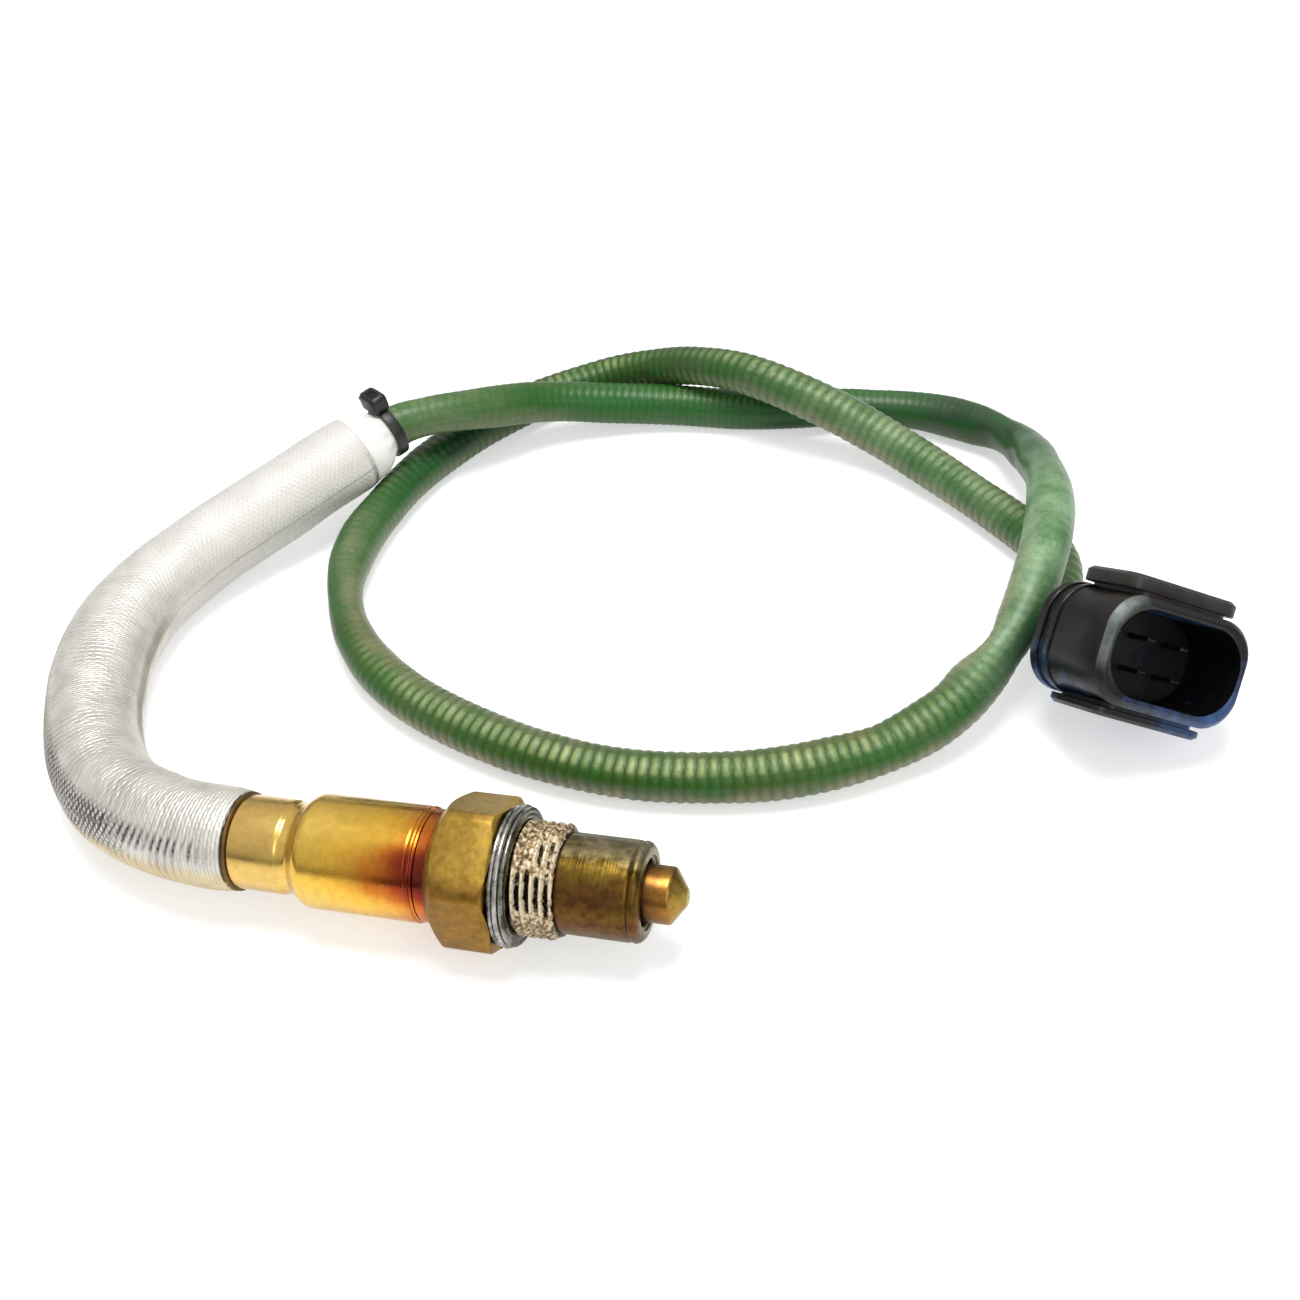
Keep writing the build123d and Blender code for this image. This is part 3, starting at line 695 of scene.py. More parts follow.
@dataclass
class Studio:
    """Pale table, soft lamps and the camera that looks down on the part from its front."""

    place: tuple = (71.4, -141.7, 172.0)
    back: tuple = (0.2427, -0.7309, 0.6378)
    right: tuple = (0.9663, 0.2399, -0.0928)
    focal_px: float = 1500.0
    frame_px: float = 1300.0
    sensor_mm: float = 36.0
    table_mm: float = 3000.0
    paint: str = "#D6D6D6"
    glow: float = 0.5
    white: str = "#FFFFFF"
    horizon: str = "#4A4642"
    walls: str = "#D2D0CC"
    ceiling: str = "#FAFAFA"
    ambient: str = "#CCCCCC"
    lamps: tuple = (("overhead", (30, 70, 620), (10, 60, 0), 260, 2.9),
                    ("front", (380, -330, 330), (20, 40, 0), 420, 1.0))

    def add_camera(self) -> None:
        """Create the camera and make it the scene's own."""
        data = bpy.data.cameras.new("camera")
        data.sensor_width = self.sensor_mm
        data.sensor_fit = "HORIZONTAL"
        data.lens = self.focal_px / self.frame_px * self.sensor_mm
        data.clip_start = 0.01
        bpy.context.scene.camera = hang("camera", data, self.place, self.back, self.right)

    def add_lamps(self) -> None:
        """Add the square soft lamps, each with its place, aim and side in millimetres and its watts."""
        for name, place, aim, size, watts in self.lamps:
            data = bpy.data.lights.new(name, "AREA")
            data.size = size * MM
            data.energy = watts
            back = np.array(place, dtype=float) - np.array(aim)
            hang(name, data, place, back, np.cross([0.0, 1.0, 0.15], back))

    def add_table(self) -> None:
        """Lay the pale table, which shows white to the camera and to gloss and keeps the part's shadow."""
        made = bpy.data.materials.new("pale_table")
        add = empty_tree(made)
        path = add("LightPath").outputs
        seen = add("Math", (path["Is Camera Ray"], path["Is Glossy Ray"]), operation="MAXIMUM")
        seen = add("Math", (seen, path["Is Transmission Ray"]), operation="MAXIMUM")
        paint = add("BsdfDiffuse", (self.paint,))
        glow = add("Emission", (self.white, self.glow))
        dark = add("Emission", {"Strength": 0.0})
        lift = add("MixShader", (seen, dark, glow))
        add("OutputMaterial", (add("AddShader", (paint, lift)),))
        half = self.table_mm / 2
        corners = np.array([[x * half, y * half, TABLE_Z] for x, y in ((-1, -1), (1, -1), (1, 1), (-1, 1))])
        table = make_object("table", corners, [(0, 1, 2, 3)])
        table.data.materials.append(made)

    def light_world(self) -> None:
        """Pale surroundings that dim towards the horizon, and are white where the camera sees them."""
        world = bpy.data.worlds.new("studio")
        add = empty_tree(world)
        path = add("LightPath").outputs
        way = add("SeparateXYZ", (add("TexCoord").outputs["Generated"],)).outputs["Z"]
        dome = add("ValToRGB", (way,), ((0.1, self.horizon), (0.24, self.walls), (1.0, self.ceiling)))
        around = add("Mix", {0: path["Is Glossy Ray"], 6: self.ambient, 7: dome}, data_type="RGBA")
        sky = add("Mix", {0: path["Is Camera Ray"], 6: around, 7: self.white}, data_type="RGBA")
        add("OutputWorld", (add("Background", (sky, 1.0)),))
        bpy.context.scene.world = world

    def build(self) -> None:
        """Set the whole studio up."""
        bpy.context.scene.view_settings.view_transform = "Standard"
        self.add_camera()
        self.add_table()
        self.light_world()
        self.add_lamps()
        LOG.info("studio ready")


# ---- cords -------------------------------------------------------------------
HEAT_ROUTE = (
    (-48, 0, 0), (-62, 0, 0), (-83, 11, HEAT_Z), (-97.5, 33, HEAT_Z), (-103.5, 55, HEAT_Z),
    (-98, 74, HEAT_Z + 0.6), (-86.2, 91.2, HEAT_Z + 3.2), (-73.4, 109.2, HEAT_Z + 6.4))
BAND_LEN = 10.4
START_RUN, END_RUN = 5.0, 9.7
MOUTH = (95.0, 53.8, 8.32)
MOUTH_AZ, MOUTH_EL, MOUTH_ROLL = -52.0, 27.0, -33.0
OUTLET_RISE, REACH = 2.0, 28.5


def mouth_axes() -> np.ndarray:
    """Work out which way the connector lies.

    Returns:
        Its width, height and mouth directions, as rows.
    """
    az, el, roll = radians(MOUTH_AZ), radians(MOUTH_EL), radians(MOUTH_ROLL)
    out = np.array([np.cos(az) * np.cos(el), np.sin(az) * np.cos(el), np.sin(el)])
    level = np.array([-np.sin(az), np.cos(az), 0.0])
    wide = level * np.cos(roll) + np.cross(out, level) * np.sin(roll)
    return np.array([wide, np.cross(out, wide), out])


def heat_exit() -> tuple[np.ndarray, np.ndarray]:
    """Far end of the heat sleeve and the direction in which it points."""
    last, before = np.array(HEAT_ROUTE[-1], dtype=float), np.array(HEAT_ROUTE[-2], dtype=float)
    return last, (last - before) / np.linalg.norm(last - before)


def cable_route() -> list[tuple]:
    """Lay out the green sleeve from the end band round the loop to the connector.

    Returns:
        Its control points, in millimetres.
    """
    end, ahead = heat_exit()
    band_end = end + ahead * BAND_LEN
    _, rise, out = mouth_axes()
    lead_end = np.array(MOUTH) + rise * OUTLET_RISE - out * REACH
    middle = (
        (-53, 129.8, FLAT_Z + 10.1), (-37, 143.3, FLAT_Z + 4.2), (-15, 151.5, FLAT_Z), (12, 150, FLAT_Z),
        (36, 155, FLAT_Z), (54.5, 150.3, FLAT_Z), (66.2, 136.5, FLAT_Z + 2.2), (71.5, 121, FLAT_Z + 8.6),
        (73.5, 104, FLAT_Z + 14.4), (72.5, 83, FLAT_Z + 14.6), (67.5, 63, FLAT_Z + 6.4), (54, 47, FLAT_Z + 0.6),
        (31, 34, FLAT_Z), (4, 31, FLAT_Z), (-22, 37, FLAT_Z), (-46, 49, FLAT_Z), (-62, 70, FLAT_Z),
        (-67, 97, FLAT_Z), (-60.5, 123, FLAT_Z), (-51, 144.5, FLAT_Z), (-37.5, 158, FLAT_Z),
        (-20.5, 161, FLAT_Z + 4.8), (-1, 152.5, FLAT_Z + 11.2), (15, 144, FLAT_Z + 10.8),
        (36.5, 138, FLAT_Z + 2.4), (55, 124.5, FLAT_Z), (77, 102, FLAT_Z))
    return [tuple(band_end), tuple(band_end + ahead * START_RUN), *middle,
            tuple(lead_end - out * END_RUN), tuple(lead_end)]


class CordLine:
    """Smooth centre line of a cord, read back from a NURBS spline on its route."""

    def __init__(self, name: str, route: Sequence[tuple]) -> None:
        """Make the spline, read its points and drop it again.

        Args:
            name: name of the spline while it lasts.
            route: control points, in millimetres.
        """
        data = bpy.data.curves.new(name, "CURVE")
        data.dimensions = "3D"
        data.resolution_u = 24
        spline = data.splines.new("NURBS")
        spline.points.add(len(route) - 1)
        for point, place in zip(spline.points, route):
            point.co = (*[value * MM for value in place], 1.0)
        spline.order_u = 3
        spline.use_endpoint_u = True
        guide = bpy.data.objects.new(name, data)
        mesh = bpy.data.meshes.new_from_object(guide)
        flat = np.empty(len(mesh.vertices) * 3)
        mesh.vertices.foreach_get("co", flat)
        self.points = flat.reshape(-1, 3) / MM
        bpy.data.meshes.remove(mesh)
        bpy.data.objects.remove(guide)
        bpy.data.curves.remove(data)
        steps = np.linalg.norm(np.diff(self.points, axis=0), axis=1)
        self.travel = np.concatenate([[0.0], np.cumsum(steps)])

    @property
    def length(self) -> float:
        """Length of the line in millimetres."""
        return float(self.travel[-1])

    def at(self, travel: np.ndarray) -> np.ndarray:
        """Points on the line after the given travels."""
        return np.stack([np.interp(travel, self.travel, self.points[:, k]) for k in range(3)], axis=-1)

    def stations(self, travel: np.ndarray) -> tuple[np.ndarray, np.ndarray, np.ndarray]:
        """Places and level frames along the line.

        Args:
            travel: distances from the start, in millimetres.

        Returns:
            Points, side directions and up directions, one row for each travel.
        """
        reach = 1.5
        ahead = self.at(np.minimum(travel + reach, self.length)) - self.at(np.maximum(travel - reach, 0))
        ahead /= np.linalg.norm(ahead, axis=1, keepdims=True)
        side = np.cross(ahead, [0.0, 0.0, 1.0])
        side /= np.linalg.norm(side, axis=1, keepdims=True)
        return self.at(travel), side, np.cross(side, ahead)

    def tube(self, travel: np.ndarray, across: np.ndarray, upward: np.ndarray) -> np.ndarray:
        """Grid round the line, side * across + up * upward from its centre, kept off the table.

        Args:
            travel: distance along the line of each row.
            across: rows x columns distances to the side.
            upward: rows x columns distances up.

        Returns:
            Rows x columns points.
        """
        centre, side, up = self.stations(travel)
        points = centre[:, None] + side[:, None] * across[..., None] + up[:, None] * upward[..., None]
        points[..., 2] = np.maximum(points[..., 2], TABLE_Z + SKIN)
        return points


@dataclass
class HeatSleeve:
    """Woven foil sleeve with fine wrinkles round it, its white end band, and the tie that holds it.

    The bulge gives its place along the sleeve, its length and its height.
    """

    radius: float = HEAT_R
    diameter_mm: float = 17.0
    ring_mm: float = 0.26
    columns: int = 128
    crease_mm: float = 1.35
    crease_depth: float = 0.17
    slant_mm: float = 2.3
    bulge: tuple = (76.0, 22.0, 1.5)
    band_r: float = 8.1
    band_drop: float = 0.5
    band_taper: float = 3.4
    band_neck_r: float = 5.0
    band_neck_len: float = 3.2
    tie_w: float = 2.5
    tie_t: float = 0.9
    tie_gap: float = 0.05
    head_size: tuple = (4.2, 6.0, 4.2)
    head_side: float = 1.2
    head_lift: float = 0.35
    tail_len: float = 2.8
    tail_rise: float = 2.0

    def build_sleeve(self, with_pieces: list) -> None:
        """Wrinkled tube along the route.

        The radius drops by crease_depth in narrow valleys about crease_mm apart.  The valleys run round
        the sleeve, wander with slow noise, stop and start again, and are deepest in the bend after the
        sensor.  A finer, slanting set crosses them.

        Args:
            with_pieces: the end band and the tie; not used.
        """
        line = CordLine("heat_line", HEAT_ROUTE)
        travel = np.linspace(0, line.length, int(line.length / self.ring_mm))
        s, a = np.meshgrid(travel, circle(self.columns), indexing="ij")
        u, v = np.cos(a) * 2.0, np.sin(a) * 2.0
        # wrinkles, and the swelling between them
        wander = 0.8 * ripple(u * 0.3 + s * 0.03, v * 0.4, 3) + 0.35 * ripple(u * 0.8, s * 0.07, 8)
        valley = (0.5 - 0.5 * np.cos(TAU * (s / self.crease_mm + wander))) ** 3.0
        slant = (0.5 - 0.5 * np.cos(TAU * (s / self.slant_mm + 0.8 * u - 0.5 * v + wander * 1.7))) ** 3.0
        where = np.interp(s, [0, 3, 10, 55, 80, 105, 149], [0.3, 0.9, 1.0, 0.9, 0.45, 0.3, 0.2])
        outer = 0.55 + 0.45 * np.cos(a - pi)
        patch = unit(0.5 + 0.75 * ripple(s * 0.11, a * 0.5 + s * 0.013, 12))
        depth = self.crease_depth * where * (valley * patch + 0.45 * slant * (1 - patch))
        swell = 0.2 * ripple(s * 0.03, v * 0.3, 21) + 0.14 * ripple(s * 0.09, u * 0.5, 30)
        ends = unit(np.minimum(s, line.length - s) / 3.0)
        radius = self.radius - depth - 0.1 + np.minimum(swell, 0.1) * ends - 0.3 * (1 - ends) ** 2
        middle, long, high = self.bulge
        radius = radius + high * np.exp(-((s - middle) / long) ** 2) * unit(np.cos(a)) ** 2
        points = line.tube(travel, radius * np.cos(a), radius * np.sin(a))
        uv = np.stack([a / TAU * np.round(TAU * self.radius), s], axis=-1)
        # where the weave shows; painted shade down the outer side and along the inner edge; a painted cream
        # highlight low on the front near the sensor; dark dashes in the valleys; and a painted shadow round the end
        # where it meets the band
        weave = np.interp(s, [14, 24, 42, 54], [0, 1, 1, 0]) * unit((np.cos(a - 0.87 * pi) - 0.86) / 0.1)
        dash = unit(valley * (1.3 + 1.6 * ripple(s * 0.4, a * 0.3, 40))) * unit(1.5 - np.abs(a - 0.83 * pi) / 0.2)
        painted_shade = unit((np.cos(a - 0.93 * pi) - 0.8) / 0.15) * np.interp(s, [25, 45, 112, 128], [0, 1, 1, 0.2])
        inside = unit(1.5 - np.abs((a + pi) % TAU - 1.02 * pi) / 0.13) * np.interp(s, [38, 48, 80, 92], [0, 1, 1, 0])
        painted_shade = np.maximum(painted_shade, inside)
        cream_highlight = unit((1.35 * pi - np.abs(a - 1.35 * pi) - 0.93 * pi) / 0.25) * np.interp(s, [30, 55], [1, 0])
        seam_shadow = 0.75 * unit((s - line.length + 1.3) / 0.6) * unit(0.6 - np.sin(a))
        # painted shade in the wrinkle valleys, heavier on the outer side, joined with the painted shadow at the end
        worn = np.maximum(valley * where * patch * outer * 0.4, seam_shadow)
        marks = {"valley": np.maximum(worn, dash * np.interp(s, [1, 5, 24, 40], [0, 1, 1, 0])), "weave": weave,
                 "bleach": np.interp(s, [70, 112], [0, 1]), "tint": 0.5 - 0.5 * painted_shade * (1 - cream_highlight) + 0.5 * cream_highlight}
        sleeve = lay_grid("heat_sleeve_weave", points, uv=uv, marks=marks, sharp=80)
        path = line.at(np.linspace(0, line.length, 160)) * MM
        tuple(np.array(HEAT_ROUTE[0]) * MM)
        LOG.info("heat sleeve line %.1f mm", line.length)
        dress(sleeve, Surface.FOIL, "woven_foil", "heat_sleeve")

    def end_axes(self) -> tuple[np.ndarray, np.ndarray]:
        """Work out the far end's own frame.

        Returns:
            Its origin, and its level, high and forward directions as rows.
        """
        end, ahead = heat_exit()
        level = np.array([-ahead[1], ahead[0], 0.0])
        level /= np.linalg.norm(level)
        return end, np.array([level, np.cross(ahead, level), ahead])

    def build_band(self) -> bpy.types.Object:
        """White end band: a profile turned about the sleeve's axis, drawn in under the tie with soft pleats.

        Returns:
            The band.
        """
        neck = BAND_LEN - self.band_neck_len
        outline = soften(((0, 0.5), (0, self.band_r), (neck - self.band_taper, self.band_r - self.band_drop),
                          (neck - 0.9, self.band_neck_r + 0.9), (neck + 0.3, self.band_neck_r),
                          (BAND_LEN - 0.5, self.band_neck_r), (BAND_LEN, self.band_neck_r - 0.4), (BAND_LEN, 0.5)),
                         0.9, 6, closed=False)
        segments = 120
        angle = circle(segments)
        along = np.repeat(outline[:, :1], segments, axis=1)
        pleat = 0.16 * np.sin(15 * angle + 1.5 * np.sin(3 * angle))[None] * np.exp(-((along - neck + 1.4) / 1.3) ** 2)
        weft = 0.035 * np.sin(TAU * along / 0.9) * (along < neck - 1)
        r = outline[:, 1:] + (pleat - 0.12 + weft) * (outline[:, 1:] > 2)
        end, axes = self.end_axes()
        local = np.stack([r * np.cos(angle), r * np.sin(angle), along], axis=-1)
        return dress(lay_grid("white_end_band", end + local @ axes), Surface.END_BAND, "end_band",
                     "sleeve_end_band")

    def build_tie(self) -> bpy.types.Object:
        """Nylon tie: a strap bent into a ring, a rounded head with its slot ledge, and the cut tail.

        Returns:
            The tie.
        """
        end, axes = self.end_axes()
        mid = BAND_LEN - self.band_neck_len / 2
        low, high = mid - self.tie_w / 2, mid + self.tie_w / 2
        inner = self.band_neck_r + self.tie_gap
        section = soften(((inner, low), (inner + self.tie_t, low), (inner + self.tie_t, high), (inner, high)), 0.3, 3)
        segments = 160
        angle = circle(segments)
        tooth = 0.08 * (np.arange(segments) % 2)
        radius = section[:, :1] - (section[:, :1] > inner + self.tie_t * 0.6) * tooth[None]
        strap = np.stack([radius * np.cos(angle), radius * np.sin(angle),
                          np.repeat(section[:, 1:], segments, axis=1)], axis=-1)
        deep, wide, tall = self.head_size
        rise = inner + deep / 2 + self.head_lift
        head = self.block((self.head_side, rise, mid), (wide, deep, tall), 1.1)
        ledge = self.block((self.head_side - 0.2, rise + deep / 2 - 0.3, mid), (wide - 2.2, 0.6, tall - 1.5), 0.25)
        tail = self.block((self.head_side + (wide + self.tail_len) / 2 - self.tie_t, inner + self.tail_rise, mid),
                          (self.tail_len, self.tie_t, self.tie_w), 0.25)
        verts, faces = strap.reshape(-1, 3), grid_faces(len(section), segments, True)
        for points in (head, ledge, tail):
            faces += grid_faces(points.shape[0], points.shape[1], False, len(verts))
            for row in (0, points.shape[0] - 1):
                first = len(verts) + row * points.shape[1]
                faces.append(tuple(range(first, first + points.shape[1])))
            verts = np.vstack([verts, points.reshape(-1, 3)])
        tie = make_object("nylon_tie", end + verts @ axes, faces)
        return dress(tie, Surface.NYLON, "tie_plastic", "cable_tie")

    @staticmethod
    def block(middle: tuple, size: tuple, round_mm: float) -> np.ndarray:
        """Rounded block as rows of a rounded rectangle, pulled in towards both ends.

        Args:
            middle: its centre.
            size: its full sizes.
            round_mm: edge rounding.

        Returns:
            A rows x columns x 3 grid.
        """
        x, y, z = (value / 2 for value in size)
        ring = soften(((-x, -y), (x, -y), (x, y), (-x, y)), round_mm, 4)
        t = np.linspace(0, pi / 2, 6)
        inset, rise = round_mm * (1 - np.sin(t)), round_mm * (1 - np.cos(t))
        insets = np.concatenate([inset, inset[::-1]])[:, None]
        heights = np.concatenate([rise - z, z - rise[::-1]])[:, None]
        rows = np.broadcast_arrays(ring[:, 0] * (x - insets) / x, ring[:, 1] * (y - insets) / y, heights)
        return np.stack(rows, axis=-1) + np.array(middle)

    def build(self) -> None:
        """Make the sleeve, band and tie."""
        self.build_sleeve([self.build_band(), self.build_tie()])


@dataclass
class CorrugatedLead:
    """Green ribbed conduit that runs once round the table and over itself.

    Each dent gives its place along and round the lead (in half turns), its length in millimetres, its
    width in radians and its depth.  The other tables give values by the distance along the lead.  They are
    the rib pitch; how deep the ribs are, and how olive, dark, rubbed and dusty the surface is, where dark is
    painted shadow where the runs cross and touch, with darker stretches besides, and dusty is dust with
    painted reflection; and how thick the conduit is next to its full size and how far a bend has pressed
    its centre sideways, both smoothed over blur samples.  Each of the four sides is a direction, with the
    cosine from it at which a mark starts and the rise over which it fills: the back, pale with dust and
    painted reflection; the top with its painted crest highlight; and the painted shadow side and the pale
    side, dust and painted reflection, of the pressed place.
    """

    radius: float = CABLE_R
    rib_depth: float = 0.26
    rings_per_rib: int = 7
    columns: int = 34
    sample_mm: float = 0.1
    blur: int = 15
    pressed_at: float = 226.0
    pressed_mm: float = 14.0
    sides: tuple = (((0.1, 0.78, 0.62), 0.45, 0.3), ((0.03, -0.37, 0.93), 0.89, 0.08),
                    ((0.75, -0.6, -0.2), 0.1, 0.4), ((-0.7, 0.5, 0.45), 0.45, 0.3))
    pitch: tuple = (
        (0, 2), (50, 1.9), (75, 1.6), (115, 1.6), (135, 1.95), (300, 1.95), (345, 2.05), (450, 2.2), (643, 2.2))
    state: tuple = (
        (0, 0.2, 0.9, 0.1, 0.3, 0.2), (18, 0.2, 0.9, 0.1, 0.2, 0.2), (34, 0.3, 0.4, 0.3, 0, 0.3),
        (50, 0.5, 0, 0.15, 0, 0.1), (75, 0.6, 0.1, 0.4, 0.05, 0.1), (92, 0.5, 0.1, 1.3, 0, 0),
        (108, 0.3, 0.1, 1.2, 0.05, 0), (120, 0.2, 0, 1.3, 0.1, 0), (134, 0.12, 0, 1.4, 0.05, 0.2),
        (148, 0.1, 0, 1.2, 0.1, 0.1), (162, 0.08, 0, 1.2, 0.15, 0), (176, 0.08, 0, 1.3, 0.15, 0.1),
        (190, 0.1, 0, 0.35, 0.75, 0.2), (212, 0.2, 0.1, 0, 0.95, 0.3), (232, 0.3, 0.3, 0, 0.7, 0.3),
        (242, 0.55, 0.5, 0.3, 0.1, 0.8), (258, 0.8, 0.8, 0, 0, 0.7), (285, 0.9, 0.9, 0.2, 0, 0.6),
        (315, 1, 0.8, 0.3, 0, 0.9), (340, 0.9, 0.7, 0.2, 0.1, 1.1), (358, 0.35, 1, 0.15, 0.05, 0.9),
        (372, 0.1, 1, 0.3, 0, 0.8), (392, 0.15, 0.8, 0.2, 0.2, 0.8), (412, 0.35, 0.3, 0.5, 0.1, 0.4),
        (440, 0.6, 0.2, 1.1, 0, 0.3), (470, 0.8, 0.5, 1, 0, 0.2), (500, 0.8, 0.9, 0.6, 0, 0.1),
        (530, 0.85, 0.7, 0.2, 0.15, 0.3), (560, 0.8, 0.6, 0, 0.42, 0.8), (595, 0.8, 0.7, 0, 0.36, 0.7),
        (643, 1, 0.7, 0.1, 0.1, 0.3))
    dents: tuple = (
        (141, 0.02, 4.5, 0.5, 0.8), (151, 0.22, 4, 0.5, 0.7), (159, -0.02, 4, 0.5, 0.9), (170, 0.3, 5, 0.45, 0.6),
        (206, 0.25, 6, 0.5, 0.5), (228, 0.05, 4, 0.6, 1), (237, 0.08, 4, 0.5, -0.7), (232, 0.7, 6, 0.5, 0.5),
        (384, 0.6, 8, 0.5, 0.5), (260, 0.55, 5, 0.5, 0.5))
    shape: tuple = (
        (0, 0.98, 0), (7, 0.9, 1.1), (16, 0.94, 0.8), (24, 1, 0.2), (32, 1, -0.8), (40, 0.98, -0.7), (50, 1, 0),
        (80, 0.99, 0), (92, 0.94, -0.4), (104, 0.9, -0.9), (113, 0.88, 0), (122, 0.9, -0.3), (130, 0.98, -0.5),
        (137, 0.97, -0.8), (144, 0.79, -1.6), (148, 0.83, -1.8), (154, 0.93, -1.1), (161, 0.95, -0.3),
        (171, 0.85, 0.55), (180, 0.86, 0.4), (188, 0.93, 0), (194, 0.98, -0.3), (204, 0.98, -0.6), (217, 0.93, -0.75),
        (223, 0.88, -0.6), (229, 0.8, -0.4), (234, 0.9, -0.5), (240, 0.96, -0.75), (248, 1, -1), (257, 0.91, -1.3),
        (266, 1, -0.8), (285, 0.96, -0.4), (308, 0.93, -0.6), (326, 0.98, -0.3), (352, 0.98, -0.25),
        (360, 0.94, -0.4), (366, 0.87, -0.6), (372, 0.84, -0.85), (378, 0.76, -1.1), (384, 0.73, -1.35),
        (389, 0.8, -1.6), (396, 0.95, -1.75), (406, 1.01, -1.8), (416, 0.96, -1.4), (425, 0.96, -2.1), (433, 1, -2.4),
        (444, 1, -1.9), (456, 1, -1), (474, 0.98, -0.6), (486, 0.98, 0), (498, 0.95, 1.4), (514, 0.94, 1.6),
        (528, 0.97, 1), (540, 1, 0), (550, 1, -0.7), (562, 0.97, -0.7), (574, 0.95, -0.3), (588, 0.91, 0.1),
        (598, 0.94, 0.1), (612, 1, -0.5), (625, 1, 0), (643, 1, 0))

    def build(self, with_pieces: list) -> None:
        """Ribbed tube: the radius falls by rib_depth in a narrow groove once every pitch.

        Args:
            with_pieces: the connector's pieces; not used.
        """
        route = cable_route()
        line = CordLine("lead_line", route)
        # rings at equal shares of each rib, however long it is
        fine = np.arange(0, line.length, self.sample_mm)
        pitches = np.array(self.pitch)
        count = np.concatenate([[0.0], np.cumsum(self.sample_mm / np.interp(fine, *pitches.T))])
        ribs = int(count[-1])
        travel = np.interp(np.arange(ribs * self.rings_per_rib + 1) / self.rings_per_rib, count,
                           np.append(fine, line.length))
        travel[-1] = line.length
        s, a = np.meshgrid(travel, circle(self.columns), indexing="ij")
        turns = np.repeat(np.arange(len(travel))[:, None] / self.rings_per_rib, self.columns, axis=1)
        at, *states = np.array(self.state).T
        rib, olive, dark, wear, dusty_and_reflecting = (np.interp(s, at, values) for values in states)
        at, *shapes = np.array(self.shape).T
        sample = np.minimum((s / self.sample_mm).astype(int), len(fine) - 1)
        thick, aside = (gaussian(np.interp(fine, at, values), self.blur)[sample] for values in shapes)
        # ribs, pressed places and dents
        groove = 1 - unit(0.5 - 0.5 * np.cos(TAU * turns)) ** 0.6
        patch = np.clip(0.85 + 0.35 * ripple(s * 0.03, np.cos(a) * 0.5, 5), 0.4, 1.0)
        radius = self.radius * thick - self.rib_depth * rib * patch * groove
        radius = radius + 0.08 * ripple(s * 0.05, np.sin(a) * 0.6, 9) - 0.07
        for middle, turn, long, wide, deep in self.dents:
            apart = (a - turn * pi + pi) % TAU - pi
            radius = radius - deep * np.exp(-((s - middle) / long) ** 2 - (apart / wide) ** 2)
        points = line.tube(travel, radius * np.cos(a) + aside, radius * np.sin(a))
        # which sides are pale with dust and painted reflection, carry the painted crest highlight, or take the
        # painted shadow or the pale side of the pressed place
        _, side, up = line.stations(travel)
        facing = side[:, None] * np.cos(a)[..., None] + up[:, None] * np.sin(a)[..., None]
        under = unit((0.3 - facing[..., 2]) / 0.5) * (1 - 0.5 * groove * rib)
        back, top, shadow_side, pale_side = (unit((facing @ np.array(way) - start) / span) for way, start, span in self.sides)
        pressed = np.exp(-((s - self.pressed_at) / self.pressed_mm) ** 2)
        pressed_shadow, pressed_pale = pressed * shadow_side, pressed * pale_side
        uv = np.stack([a / TAU * 30.0, s], axis=-1)
        streak = unit(0.6 + 0.7 * ripple(s * 0.02, a * 0.35, 14))
        # groove: painted shade in the grooves; dark: painted shadow, also on the pressed place; crest: painted
        # highlight; dust: dust with painted reflection
        lead = lay_grid("green_conduit", points, uv=uv, sharp=80, marks={
            "groove": groove * rib, "wear": wear * (1 - 0.85 * pressed_shadow), "olive": olive,
            "dark": dark * streak + 1.1 * pressed_shadow, "crest": top * (1 - groove) * rib * (0.3 + 0.7 * olive),
            "dust": np.maximum(np.maximum(under, back * 0.4) * dusty_and_reflecting, 0.8 * pressed_pale)})
        path = line.at(np.linspace(0, line.length, 640)) * MM
        tuple(np.array(route[0]) * MM)
        LOG.info("lead line %.1f mm with %d ribs", line.length, ribs)
        dress(lead, Surface.CONDUIT, "green_sleeve", "cable_sleeve")


